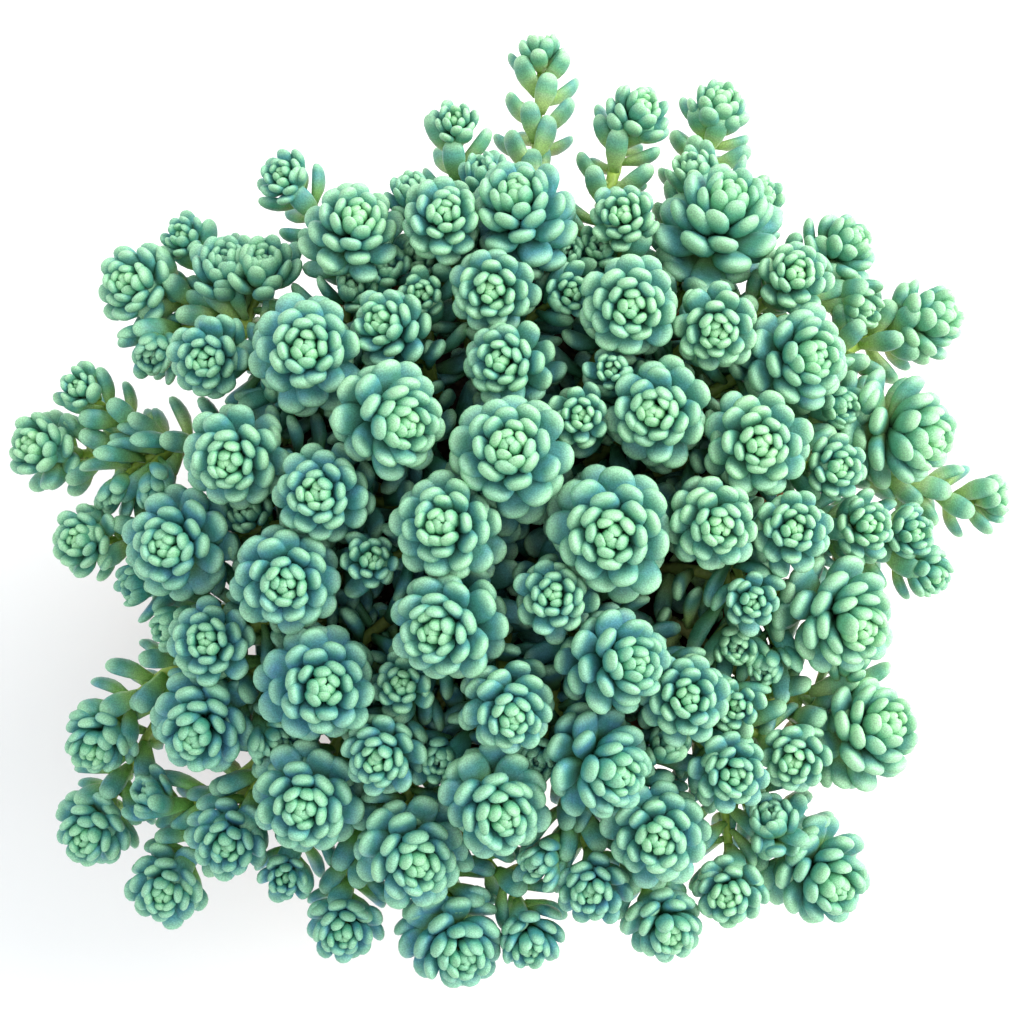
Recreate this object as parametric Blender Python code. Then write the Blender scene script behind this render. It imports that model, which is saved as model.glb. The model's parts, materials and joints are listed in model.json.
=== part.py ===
"""A potted sedum: a cushion of blue-green stonecrop spilling over a plain clay pot.

Units are metres, +Z is up, and the origin is the middle of the pot's underside, on the
surface that it stands on. Each leafy stem with its heads is one solid and stands in its
own hole in the soil. A head's leaves grow in whorls, one on each diamond of its core's
lattice, and each leaf shortens until it keeps clear of the other stems and heads.
"""

import math
from collections import namedtuple

import bmesh
import bpy
from mathutils import Vector

MM = 0.001

# The pot
POT_HEIGHT = 78 * MM
RIM_RADIUS = 45 * MM
BASE_RADIUS = 30 * MM
WALL = 4 * MM
BAND_HEIGHT = 16 * MM
BAND_STEP = 2.5 * MM
DRAIN_RADIUS = 6 * MM
CHAMFER = 1 * MM
POT_SIDES = 30

# The soil, which fills the pot to a little below its rim
SOIL_TOP = 71.5 * MM
SOIL_SWELL = 3 * MM
SOIL_GAP = 0.3 * MM
SOIL_RING = 0.6
SOIL_SIDES = 20
HOLE_DEPTH = 5 * MM
HOLE_GAP = 0.35 * MM
HOLE_SIDES = 4
HOLE_RISE = 0.8 * MM

# The cushion: heads sit on a dome that falls away over the rim
CROWN_TOP = 113 * MM
CROWN_EDGE = 73 * MM
CROWN_RADIUS = 82 * MM
CROWN_POWER = 2.2
HOLE_SPREAD = 0.44
HOLE_REACH = 32.5 * MM
HOLE_TURN = math.radians(-6)
HOLE_TURN_FROM = 0.6

# The plan of heads is a view from above and a little in front, in perspective
VIEW_ELEVATION = math.radians(80)
VIEW_DISTANCE = 387 * MM
VIEW_MIDDLE = Vector((0.3 * MM, -3.8 * MM, 87 * MM))
VIEW_RIGHT = Vector((1, 0, 0))
VIEW_UP = Vector((0, math.sin(VIEW_ELEVATION), math.cos(VIEW_ELEVATION)))
VIEW_BACK = VIEW_RIGHT.cross(VIEW_UP)
RAY_STEPS = 12

# Stems: where each is measured along its curve, and how the curve rises, arches and bends
STEM_RADIUS = 1.1 * MM
SIDE_STEM_RADIUS = 0.75 * MM
SIDE_BRANCH = 0.5
STEM_STATIONS = (0, 0.45, 1)
LONG_STEM_STATIONS = (0, 0.25, 0.7, 1)
HANGING_STEM_STATIONS = (0, 0.25, 0.62, 0.86, 1)
HANGING_REACH = 58 * MM
STEM_RISE = 0.45
STEM_ARCH = 0.7
STEM_DRIFT = 0.08
BRANCH_BEND = 0.3
NECK_SHARE = 0.4
NECK = 9 * MM
SIDE_NECK = 6 * MM

# Heads: how far one leans, how far its middle lies from its outline's middle towards its eye,
# and the room that it leaves its neighbours
FOLD = 5
EYE_HEIGHT = 1.0
EYE_SHIFT = 0.4
MOST_LEAN = 0.93
BUD_TIP = 0.50
NODE_GAP = 0.2 * MM
NEAR = 40 * MM
STEMS_NEAR = 60 * MM
OUTLINE_REACH = 60 * MM
OUTERMOST_LEAF = 1.05

# Leaves, as shares of their length, and the shares that one may shorten to
WIDEST = 0.72
LIFT = 0.10
TIP_LIFT = 0.25
LEAF_LINE = (0.3, 0.6, 1)
TIP_CLEARANCE = 0.5
REACHES = (1, 0.9, 0.8, 0.7, 0.6, 0.5, 0.4)

# Loose leaves, which go down the stem by the golden angle
GOLDEN_ANGLE = math.radians(137.5)
LOOSE_FIRST = 0.88
LOOSE_STEP = 0.13
LOOSE_START = math.radians(40)
LOOSE_RISE = math.radians(38)
LEAST_LOOSE = 4.5 * MM
LOOSE_WIDTH = 0.26
LOOSE_ROOT = 0.6

# A ring of the core: its height and radius. A whorl: its leaves' rise, reach and half width.
# All but the rise are shares of the head's radius.
Ring = namedtuple("Ring", "height radius")
Whorl = namedtuple("Whorl", "rise reach width")
Form = namedtuple("Form", "least_radius rings whorls")
FORMS = (
    Form(
        8.3 * MM,
        (
            Ring(-0.98, 0.13),
            Ring(-0.70, 0.17),
            Ring(-0.42, 0.20),
            Ring(-0.14, 0.19),
            Ring(0.10, 0.15),
            Ring(0.30, 0.09),
        ),
        (
            Whorl(math.radians(-12), 1.25, 0.32),
            Whorl(math.radians(6), 1.00, 0.35),
            Whorl(math.radians(30), 0.95, 0.31),
            Whorl(math.radians(56), 0.70, 0.19),
        ),
    ),
    Form(
        5.9 * MM,
        (
            Ring(-0.80, 0.17),
            Ring(-0.50, 0.22),
            Ring(-0.20, 0.22),
            Ring(0.08, 0.17),
            Ring(0.30, 0.10),
        ),
        (
            Whorl(math.radians(-6), 1.20, 0.38),
            Whorl(math.radians(20), 1.00, 0.37),
            Whorl(math.radians(50), 0.75, 0.22),
        ),
    ),
    Form(
        0,
        (Ring(-0.70, 0.22), Ring(-0.35, 0.27), Ring(-0.02, 0.24), Ring(0.25, 0.14)),
        (Whorl(math.radians(6), 1.10, 0.44), Whorl(math.radians(42), 0.90, 0.30)),
    ),
)

# A head as it shows on the plan, in millimetres from the plan's middle: the middle of its
# outline (across, up), its width, how far its eye shows from that middle (across, up), how
# deep it sits below the dome, how many loose leaves show on its stem, and the head whose
# stem it branches from.
Head = namedtuple("Head", "name across up width eye_across eye_up sink leaves parent")
HEADS = [
    Head("back_left_2", -25.4, 44.6, 15.2, 1.0, 3.6, 0, 0, ""),
    Head("back_left_1", -35.7, 52.8, 8.6, -1.6, 1.6, 1, 2, "back_left_2"),
    Head("back_left_3", -11.0, 46.6, 13.8, 0.4, 1.8, 0, 0, ""),
    Head("back_left_4", -9.0, 61.0, 7.4, -0.2, 2.2, 0, 2, "back_left_3"),
    Head("back_mid_1", 1.3, 47.5, 18.0, -0.8, 5.0, 0, 0, ""),
    Head("back_mid_2", 4.6, 72.0, 7.8, 0.0, 3.7, 1, 4, "back_mid_1"),
    Head("back_mid_3", 19.5, 62.4, 10.6, 1.9, 3.4, 0, 4, ""),
    Head("back_mid_4", 17.9, 46.6, 10.6, -0.4, 1.6, 3, 0, "crown_3"),
    Head("back_right_1", 33.3, 45.8, 20.0, 2.1, 6.7, 0, 0, ""),
    Head("back_right_2", 32.5, 63.0, 10.6, 1.3, 4.4, 2, 2, "back_right_1"),
    Head("back_right_3", 44.6, 37.3, 11.8, 1.4, 1.5, 0, 0, ""),
    Head("back_right_4", 51.8, 41.6, 12.0, 4.0, 2.8, 4, 2, "back_right_3"),
    Head("right_1", 65.0, 30.4, 13.0, 6.0, 2.0, 0, 3, ""),
    Head("right_2", 62.1, 12.8, 17.6, 6.9, -1.6, 0, 0, ""),
    Head("right_3", 75.4, 1.8, 8.0, 3.8, 0.3, 1, 2, "right_2"),
    Head("right_4", 45.4, 24.6, 17.0, 4.3, 0.2, 0, 0, ""),
    Head("right_5", 51.2, 7.2, 10.2, 1.8, 0.0, 2, 0, "crown_11"),
    Head("right_6", 55.5, -2.4, 9.8, 2.4, 0.2, 3, 0, ""),
    Head("right_7", 62.6, -3.2, 8.4, 2.6, 0.0, 4, 0, "right_6"),
    Head("right_8", 65.4, -9.0, 8.4, 3.0, -1.8, 5, 1, "right_6"),
    Head("right_9", 44.5, -2.9, 12.6, 1.0, 0.3, 0, 0, ""),
    Head("right_10", 52.5, -16.8, 18.0, 4.8, -2.4, 0, 0, ""),
    Head("right_11", 38.0, -14.0, 8.8, 0.6, -0.6, 4, 0, "right_9"),
    Head("left_1", -59.2, 36.0, 13.6, -3.4, 1.2, 0, 4, ""),
    Head("left_2", -51.5, 43.0, 7.0, -1.6, 1.6, 5, 0, "left_1"),
    Head("left_3", -48.2, 24.8, 12.4, -1.6, -0.8, 1, 1, ""),
    Head("left_4", -32.6, 25.6, 18.6, -0.5, 1.0, 0, 0, ""),
    Head("left_5", -19.2, 29.2, 12.8, -2.6, 1.8, 5, 0, ""),
    Head("left_6", -14.0, 34.6, 7.6, -0.6, 0.4, 9, 0, "left_5"),
    Head("left_7", -74.2, 10.0, 12.4, -3.6, 1.2, 0, 4, ""),
    Head("left_8", -68.5, 19.2, 6.6, -1.4, 1.2, 0, 2, "left_7"),
    Head("left_9", -44.2, 8.8, 16.4, -1.8, -1.2, 0, 0, ""),
    Head("left_10", -30.4, 2.9, 15.0, -1.1, 0.2, 1, 0, ""),
    Head("left_11", -67.5, -4.6, 11.0, -2.8, 0.0, 2, 0, "left_12"),
    Head("left_12", -53.4, -5.0, 16.8, -2.8, -0.5, 0, 1, ""),
    Head("left_13", -36.2, -10.6, 17.0, -0.3, -1.4, 0, 0, ""),
    Head("left_14", -48.0, -21.0, 13.6, -1.4, 0.4, 1, 0, ""),
    Head("crown_1", -3.0, 35.5, 14.0, -0.5, -0.3, 4, 0, ""),
    Head("crown_2", 9.0, 34.9, 7.8, 0.8, 0.2, 8, 0, "crown_1"),
    Head("crown_3", 18.7, 32.8, 16.2, 0.7, 0.0, 0, 0, ""),
    Head("crown_4", 32.6, 29.6, 13.4, 0.4, -1.0, 0, 0, ""),
    Head("crown_5", -0.5, 24.0, 14.0, -1.8, 0.4, 5, 0, ""),
    Head("crown_6", -19.8, 14.9, 18.6, 4.0, -1.4, 0, 0, ""),
    Head("crown_7", -0.3, 9.1, 20.6, -0.2, 2.2, 0, 0, ""),
    Head("crown_8", 23.2, 16.2, 17.0, -0.8, -0.2, 3, 0, ""),
    Head("crown_9", 16.2, 22.6, 6.0, -0.3, 0.3, 6, 0, "crown_8"),
    Head("crown_10", 11.0, 15.2, 9.4, 0.0, 0.2, 5, 0, "crown_8"),
    Head("crown_11", 39.2, 10.9, 16.4, 1.0, -0.2, 0, 0, ""),
    Head("crown_12", 32.2, -1.6, 14.4, 1.3, -1.3, 0, 0, ""),
    Head("crown_13", 16.0, -3.4, 21.6, -0.2, -0.8, 0, 0, ""),
    Head("crown_14", -10.2, -2.4, 17.6, -1.8, 0.6, 1, 0, ""),
    Head("crown_15", -22.7, -8.0, 8.8, 0.3, 0.5, 7, 0, "crown_14"),
    Head("crown_16", -10.4, -18.2, 17.6, -2.9, -1.3, 0, 0, ""),
    Head("crown_17", -17.2, -28.0, 10.0, -0.8, 0.6, 8, 0, "crown_16"),
    Head("crown_18", 6.9, -13.6, 12.0, -0.3, 0.3, 3, 0, ""),
    Head("crown_19", 16.8, -24.0, 16.8, 4.3, -0.3, 0, 0, ""),
    Head("crown_20", 27.7, -29.8, 14.0, 0.8, 0.0, 1, 0, ""),
    Head("crown_21", 35.8, -31.0, 8.0, 0.0, -0.3, 6, 0, "crown_20"),
    Head("crown_22", -30.6, -27.7, 19.0, 0.8, -0.5, 0, 0, ""),
    Head("crown_23", -0.6, -31.4, 14.0, 1.1, -2.4, 0, 0, ""),
    Head("front_left_1", -49.3, -33.6, 16.4, -2.0, -3.2, 0, 0, ""),
    Head("front_left_2", -65.4, -35.7, 11.6, -2.4, -3.5, 1, 2, ""),
    Head("front_left_3", -66.7, -50.2, 12.6, -2.2, -3.0, 0, 3, "front_left_2"),
    Head("front_left_4", -45.1, -51.8, 12.4, -0.9, -2.4, 0, 0, ""),
    Head("front_left_5", -55.0, -59.5, 12.8, -1.2, -2.4, 0, 1, "front_left_4"),
    Head("front_left_6", -32.8, -45.9, 17.4, -1.1, -2.4, 0, 0, ""),
    Head("front_left_7", -36.0, -57.6, 7.6, -0.4, -1.4, 4, 0, "front_left_6"),
    Head("front_left_8", -20.6, -38.4, 12.6, -1.4, -1.9, 3, 0, ""),
    Head("front_mid_1", -16.2, -54.4, 17.0, 1.8, -3.2, 0, 0, ""),
    Head("front_mid_2", -26.9, -65.3, 11.6, -0.2, -3.2, 1, 2, ""),
    Head("front_mid_3", -9.1, -68.0, 16.4, 1.8, -4.4, 0, 0, ""),
    Head("front_mid_4", 2.6, -67.0, 10.8, 0.2, -3.8, 2, 0, "front_mid_3"),
    Head("front_mid_5", -2.6, -46.6, 17.6, 1.8, -3.4, 0, 0, ""),
    Head("front_mid_6", 13.8, -40.5, 17.0, 4.8, -2.6, 0, 0, ""),
    Head("front_mid_7", 12.8, -59.5, 11.6, -0.5, -2.0, 2, 1, ""),
    Head("front_mid_8", 24.2, -65.3, 12.6, 1.8, -3.4, 0, 1, ""),
    Head("front_mid_9", 23.0, -51.4, 16.4, 0.5, -1.8, 0, 0, ""),
    Head("front_right_1", 34.6, -41.3, 12.2, 1.4, -1.2, 1, 0, ""),
    Head("front_right_2", 45.3, -38.9, 11.0, -0.4, -1.5, 3, 0, "front_right_1"),
    Head("front_right_3", 56.6, -35.2, 17.0, 5.3, 1.8, 0, 1, ""),
    Head("front_right_4", 34.7, -60.2, 11.2, -0.3, -1.8, 1, 1, "front_right_5"),
    Head("front_right_5", 49.0, -57.6, 16.6, 4.0, -3.4, 0, 1, ""),
]

CLAY = ("clay", (0.60, 0.25, 0.13, 1), 0.85)
SOIL = ("soil", (0.045, 0.030, 0.022, 1), 0.95)
LEAF = ("leaf", (0.26, 0.50, 0.36, 1), 0.60)


def material(finish):
    """The Principled material of a finish, made once."""
    name, colour, roughness = finish
    found = bpy.data.materials.get(name)
    if found:
        return found
    made = bpy.data.materials.new(name)
    made.use_nodes = True
    shader = made.node_tree.nodes["Principled BSDF"]
    shader.inputs["Base Color"].default_value = colour
    shader.inputs["Roughness"].default_value = roughness
    shader.inputs["Metallic"].default_value = 0
    made.diffuse_color = colour
    return made


def object_of(name, bm, finish, collection=None):
    """An object made from a bmesh, with its faces turned outwards."""
    bmesh.ops.recalc_face_normals(bm, faces=bm.faces)
    mesh = bpy.data.meshes.new(name)
    bm.to_mesh(mesh)
    bm.free()
    mesh.materials.append(material(finish))
    made = bpy.data.objects.new(name, mesh)
    (collection or bpy.context.scene.collection).objects.link(made)
    return made


def turned(name, profile, sides, finish):
    """A profile of (radius, height) points turned about the Z axis, closed if off the axis."""
    bm = bmesh.new()
    points = [bm.verts.new((radius, 0, height)) for radius, height in profile]
    ends = points[1:] + points[:1] if profile[0][0] else points[1:]
    edges = [bm.edges.new(pair) for pair in zip(points, ends)]
    bmesh.ops.spin(
        bm, geom=points + edges, cent=(0, 0, 0), axis=(0, 0, 1), angle=math.tau, steps=sides
    )
    bmesh.ops.remove_doubles(bm, verts=bm.verts, dist=1e-6)
    return object_of(name, bm, finish)


def wall_radius(height):
    """The pot's outer radius below its band, at a height."""
    band_radius = RIM_RADIUS - BAND_STEP
    return BASE_RADIUS + (band_radius - BASE_RADIUS) * height / POT_HEIGHT


def pot():
    """A tapered clay pot with a band round its rim and a drain hole in its floor."""
    band_foot = POT_HEIGHT - BAND_HEIGHT
    profile = [
        (DRAIN_RADIUS, 0),
        (BASE_RADIUS - CHAMFER, 0),
        (BASE_RADIUS, CHAMFER),
        (wall_radius(band_foot), band_foot),
        (RIM_RADIUS - CHAMFER, band_foot + CHAMFER),
        (RIM_RADIUS, POT_HEIGHT - CHAMFER),
        (RIM_RADIUS - CHAMFER, POT_HEIGHT),
        (RIM_RADIUS - WALL, POT_HEIGHT),
        (wall_radius(WALL) - WALL, WALL),
        (DRAIN_RADIUS, WALL),
    ]
    made = turned("pot", profile, POT_SIDES, CLAY)
    made.data.shade_smooth()
    made.data.set_sharp_from_angle(angle=math.radians(35))


def inner_radius(height):
    """The pot's inner radius at a height."""
    low, high = wall_radius(WALL) - WALL, RIM_RADIUS - WALL
    return low + (high - low) * (height - WALL) / (POT_HEIGHT - WALL)


def soil_height(radius):
    """The soil's surface, a little higher in the middle."""
    return SOIL_TOP + SOIL_SWELL * (1 - (radius / inner_radius(SOIL_TOP)) ** 2)


def hole_cutter(mouth, collection):
    """A square peg through the soil's surface, deeper than the stem that stands there."""
    bm = bmesh.new()
    radius = (STEM_RADIUS + HOLE_GAP) / math.cos(math.pi / HOLE_SIDES)
    sides = ring_sides(0.5, radius, Vector((1, 0, 0)), Vector((0, 1, 0)), HOLE_SIDES)
    above = Vector((0, 0, HOLE_DEPTH))
    top = [bm.verts.new(mouth + side + above) for side in sides]
    walls = bmesh.ops.extrude_face_region(bm, geom=[bm.faces.new(top)], use_keep_orig=True)
    low = [vert for vert in walls["geom"] if isinstance(vert, bmesh.types.BMVert)]
    bmesh.ops.translate(bm, verts=low, vec=(0, 0, -2 * HOLE_DEPTH - SOIL_GAP))
    made = object_of("hole_cutter", bm, SOIL, collection)
    made.hide_render = True


def soil(holes):
    """The soil, with a plain hole for each stem that stands in it."""
    floor = WALL + SOIL_GAP
    # The pot's facets lie this share of its radius from the axis.
    facet = math.cos(math.pi / POT_SIDES)
    edge = inner_radius(SOIL_TOP) * facet - SOIL_GAP
    foot = inner_radius(floor) * facet - SOIL_GAP
    ring = SOIL_RING * edge
    profile = [(0, floor), (foot, floor), (edge, SOIL_TOP), (ring, soil_height(ring))]
    made = turned("soil", profile + [(0, soil_height(0))], SOIL_SIDES, SOIL)
    cutters = bpy.data.collections.new("hole_cutters")
    bpy.context.scene.collection.children.link(cutters)
    for hole in holes:
        hole_cutter(hole, cutters)
    join(made, cutters, "DIFFERENCE")


def join(made, collection, operation="UNION"):
    """Applies one Boolean of a collection to an object and removes the collection's objects."""
    modifier = made.modifiers.new("joined", "BOOLEAN")
    modifier.operation = operation
    modifier.operand_type = "COLLECTION"
    modifier.collection = collection
    modifier.solver = "EXACT"
    bpy.context.view_layer.update()
    graph = bpy.context.evaluated_depsgraph_get()
    result = bpy.data.meshes.new_from_object(made.evaluated_get(graph))
    made.modifiers.clear()
    made.data = result
    for piece in list(collection.objects):
        bpy.data.objects.remove(piece)
    bpy.data.collections.remove(collection)


def dome(across, along):
    """The height of the cushion's surface over a point of the plan."""
    share = math.hypot(across, along) / CROWN_RADIUS
    return CROWN_EDGE + (CROWN_TOP - CROWN_EDGE) * (1 - share**CROWN_POWER)


def seen_at(across, up, sink):
    """The point below the plan's point (across, up) that lies that deep under the dome."""
    camera = VIEW_MIDDLE + VIEW_BACK * VIEW_DISTANCE
    ray = VIEW_MIDDLE + VIEW_RIGHT * across + VIEW_UP * up - camera
    point = camera + ray
    for _ in range(RAY_STEPS):
        height = dome(point.x, point.y) - sink
        point = camera + ray * ((height - camera.z) / ray.z)
    return point


def ring_sides(turn, radius, side, other, count=FOLD):
    """The corners of a ring about the origin, turned by a share of a step."""
    angles = [math.tau * (step + turn) / count for step in range(count)]
    return [(side * math.cos(a) + other * math.sin(a)) * radius for a in angles]


def hole_of(middle):
    """Where a head's stem enters the soil. The outer holes turn a little round the pot."""
    out = math.hypot(middle.x, middle.y)
    radius = min(out * HOLE_SPREAD, HOLE_REACH)
    turn = HOLE_TURN * max(0, radius / HOLE_REACH - HOLE_TURN_FROM) / (1 - HOLE_TURN_FROM)
    angle = math.atan2(middle.y, middle.x) + turn
    height = soil_height(radius)
    return Vector((radius * math.cos(angle), radius * math.sin(angle), height))


def cubic(share, first, second, third, last):
    """The point at a share of a cubic curve with these control points."""
    left = 1 - share
    inner = second * (3 * left**2 * share) + third * (3 * left * share**2)
    return first * left**3 + inner + last * share**3


class Shoot:
    """A head on its stem, with what the stem's path and the head's leaves need."""

    def __init__(self, head):
        self.head = head
        self.name = head.name
        self.radius = head.width / 2 * MM
        across = (head.across + EYE_SHIFT * head.eye_across) * MM
        up = (head.up + EYE_SHIFT * head.eye_up) * MM
        self.middle = seen_at(across, up, head.sink * MM)
        lean = Vector((head.eye_across, head.eye_up)) * MM / (EYE_HEIGHT * self.radius)
        if lean.length > MOST_LEAN:
            lean = lean.normalized() * MOST_LEAN
        towards = (VIEW_MIDDLE + VIEW_BACK * VIEW_DISTANCE - self.middle).normalized()
        face = math.sqrt(1 - lean.length_squared)
        self.axis = (VIEW_RIGHT * lean.x + VIEW_UP * lean.y + towards * face).normalized()
        form = next(form for form in FORMS if self.radius >= form.least_radius)
        self.rings, self.whorls = form.rings, form.whorls
        self.stem_radius = SIDE_STEM_RADIUS if head.parent else STEM_RADIUS
        self.outermost = math.hypot(head.across, head.up) * MM > OUTLINE_REACH

    def lay_path(self, shoots):
        """The stem's stations: a cubic curve from its hole or its parent's stem to the head."""
        seat = self.middle + self.axis * self.rings[0].height * self.radius
        if self.head.parent:
            start, rise = shoots[self.head.parent].on_stem(SIDE_BRANCH)
            span = seat - start
            leave = rise * BRANCH_BEND + span.normalized() * (1 - BRANCH_BEND)
            second = start + leave * span.length * NECK_SHARE
        else:
            start = hole_of(self.middle)
            over = max(0, math.hypot(seat.x, seat.y) - HOLE_REACH)
            lift = STEM_RISE * (seat.z - start.z) + STEM_ARCH * over
            second = start + Vector((seat.x * STEM_DRIFT, seat.y * STEM_DRIFT, lift))
        neck = SIDE_NECK if self.head.parent else NECK
        third = seat - self.axis * min(NECK_SHARE * (seat - start).length, neck)
        out = math.hypot(seat.x, seat.y)
        if self.head.parent or out < HOLE_REACH:
            shares = STEM_STATIONS
        else:
            shares = LONG_STEM_STATIONS if out < HANGING_REACH else HANGING_STEM_STATIONS
        self.stations = [
            (share, cubic(share, start, second, third, seat)) for share in shares
        ]
        self.foot = start

    def on_stem(self, share):
        """The point at a share of the stem, and the stem's direction there."""
        for (low, before), (high, after) in zip(self.stations, self.stations[1:]):
            if share <= high:
                break
        return before.lerp(after, (share - low) / (high - low)), (after - before).normalized()

    def line(self):
        """The points that the stem runs through, from its foot to below the head."""
        points = [point for share, point in self.stations]
        if not self.head.parent:
            upright = Vector((0, 0, 1))
            points[:1] = [self.foot - upright * HOLE_DEPTH, self.foot + upright * HOLE_RISE]
        return points


def separated(point, shoot, others):
    """Whether a point is on a head's side of the planes between it and its neighbours."""
    for other in others:
        apart = other.middle - shoot.middle
        share = shoot.radius / (shoot.radius + other.radius)
        reach = (point - shoot.middle).dot(apart) / apart.length
        if reach > share * apart.length - NODE_GAP:
            return False
    return True


def distance_to_stem(point, other):
    """The distance from a point to another stem's line."""
    nearest = math.inf
    line = other.line()
    for low, high in zip(line, line[1:]):
        span = high - low
        share = max(0, min(1, (point - low).dot(span) / span.length_squared))
        nearest = min(nearest, (point - low - span * share).length)
    return nearest


def clear(points, middle_line, half_width, shoot, others, crossing):
    """Whether a leaf with these corners keeps clear of other heads and of every stem."""
    if not all(separated(point, shoot, others) for point in points):
        return False
    if distance_to_stem(points[-1], shoot) < TIP_CLEARANCE * half_width + shoot.stem_radius:
        return False
    for point in middle_line:
        for other in crossing:
            least = half_width + other.stem_radius + NODE_GAP
            if distance_to_stem(point, other) < least:
                return False
    return True


def leaf_corners(root, direction, side, upper, length, width):
    """The right and left corners of a leaf's widest part, and its tip, which cups upwards."""
    widest = root + direction * length * WIDEST + upper * length * LIFT
    tip = root + direction * length + upper * length * TIP_LIFT
    return widest + side * width, widest - side * width, tip


def leaf_line(root, tip):
    """Points along a leaf's middle, past the part that is sunk in its stem."""
    return [root.lerp(tip, share) for share in LEAF_LINE]


def fitted_leaf(shoot, root, outward, axis, rise, length, width, others, crossing):
    """The corners of the longest leaf that keeps clear of what is near, or None."""
    side = axis.cross(outward)
    direction = outward * math.cos(rise) + axis * math.sin(rise)
    upper = axis * math.cos(rise) - outward * math.sin(rise)
    for reach in REACHES:
        narrowed = width * reach
        corners = leaf_corners(root, direction, side, upper, length * reach, narrowed)
        line = leaf_line(root, corners[-1])
        if clear(corners, line, narrowed, shoot, others, crossing):
            return corners
    return None


def add_leaf(bm, diamond, corners):
    """A leaf on a diamond (foot, right, top, left): its flanks, then its under and upper sides."""
    foot, right_root, top, left_root = diamond
    right, left, tip = [bm.verts.new(point) for point in corners]
    bm.faces.new((foot, right_root, right))
    bm.faces.new((right_root, top, right))
    bm.faces.new((top, left_root, left))
    bm.faces.new((left_root, foot, left))
    bm.faces.new((foot, right, tip))
    bm.faces.new((foot, tip, left))
    bm.faces.new((top, tip, right))
    bm.faces.new((top, left, tip))


def add_head(bm, shoot, last_ring, side, other, others, crossing):
    """The core above the stem's last ring, with a leaf on each diamond of its lattice."""
    axis, radius, middle = shoot.axis, shoot.radius, shoot.middle
    rings = [last_ring]
    for index, ring in enumerate(shoot.rings[1:], 1):
        corners = ring_sides(index / 2, ring.radius * radius, side, other)
        rings.append([bm.verts.new(middle + axis * ring.height * radius + c) for c in corners])
    for index, whorl in enumerate(shoot.whorls, 1):
        below, level, above = rings[index - 1 : index + 2]
        ring = shoot.rings[index]
        for step in range(FOLD):
            # A diamond's foot and top share an angle, and its sides lie half a step each way.
            after = (step + 1) % FOLD
            diamond = (below[after], level[after], above[step], level[step])
            angle = math.tau * (step + (index + 1) / 2) / FOLD
            outward = side * math.cos(angle) + other * math.sin(angle)
            root = middle + (axis * ring.height + outward * ring.radius) * radius
            reach = min(whorl.reach, OUTERMOST_LEAF) if shoot.outermost else whorl.reach
            length = (reach - ring.radius) * radius
            width = whorl.width * radius
            corners = fitted_leaf(
                shoot, root, outward, axis, whorl.rise, length, width, others, crossing
            )
            if corners:
                add_leaf(bm, diamond, corners)
            else:
                bm.faces.new(diamond[:3])
                bm.faces.new((diamond[0], diamond[2], diamond[3]))
    first, second = rings[0], rings[1]
    for step in range(FOLD):
        bm.faces.new((first[step], first[(step + 1) % FOLD], second[step]))
    under, top = rings[-2], rings[-1]
    tip = bm.verts.new(middle + axis * BUD_TIP * radius)
    for step in range(FOLD):
        after = (step + 1) % FOLD
        bm.faces.new((under[after], top[after], top[step]))
        bm.faces.new((top[step], top[after], tip))


def shoot_mesh(shoot, others, crossing):
    """One closed body of a stem and its head."""
    bm = bmesh.new()
    rings = []
    side = Vector((1, 0, 0))
    line = shoot.line()
    spans = [(high - low).normalized() for low, high in zip(line, line[1:])]
    headings = [(low + high).normalized() for low, high in zip(spans, spans[1:])]
    for centre, direction in zip(line, [spans[0], *headings, shoot.axis]):
        side = (side - direction * side.dot(direction)).normalized()
        other = direction.cross(side)
        corners = ring_sides(0, shoot.stem_radius, side, other)
        rings.append([bm.verts.new(centre + corner) for corner in corners])
    bm.faces.new(rings[0][::-1])
    for low, high in zip(rings, rings[1:]):
        for step in range(FOLD):
            after = (step + 1) % FOLD
            bm.faces.new((low[step], low[after], high[after], high[step]))
    add_head(bm, shoot, rings[-1], side, other, others, crossing)
    return bm


def stem_leaf_mesh(shoot, index, others, crossing):
    """A loose leaf of the stem, its root sunk into the stem, or None where it has no room."""
    root, along = shoot.on_stem(LOOSE_FIRST - LOOSE_STEP * index)
    side = along.orthogonal().normalized()
    angle = GOLDEN_ANGLE * index + LOOSE_START
    outward = side * math.cos(angle) + along.cross(side) * math.sin(angle)
    length = max(shoot.radius, LEAST_LOOSE)
    width = LOOSE_WIDTH * length
    corners = fitted_leaf(
        shoot, root, outward, along, LOOSE_RISE, length, width, others, crossing
    )
    if corners is None:
        return None
    bm = bmesh.new()
    half = LOOSE_ROOT * shoot.stem_radius
    across = along.cross(outward)
    sides = (-along, across, along, -across)
    diamond = [bm.verts.new(root + side * half) for side in sides]
    bm.faces.new(diamond)
    add_leaf(bm, diamond, corners)
    return bm


def family(shoot):
    """The head that stands in the soil for this one: itself or its parent."""
    return shoot.head.parent or shoot.name


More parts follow.
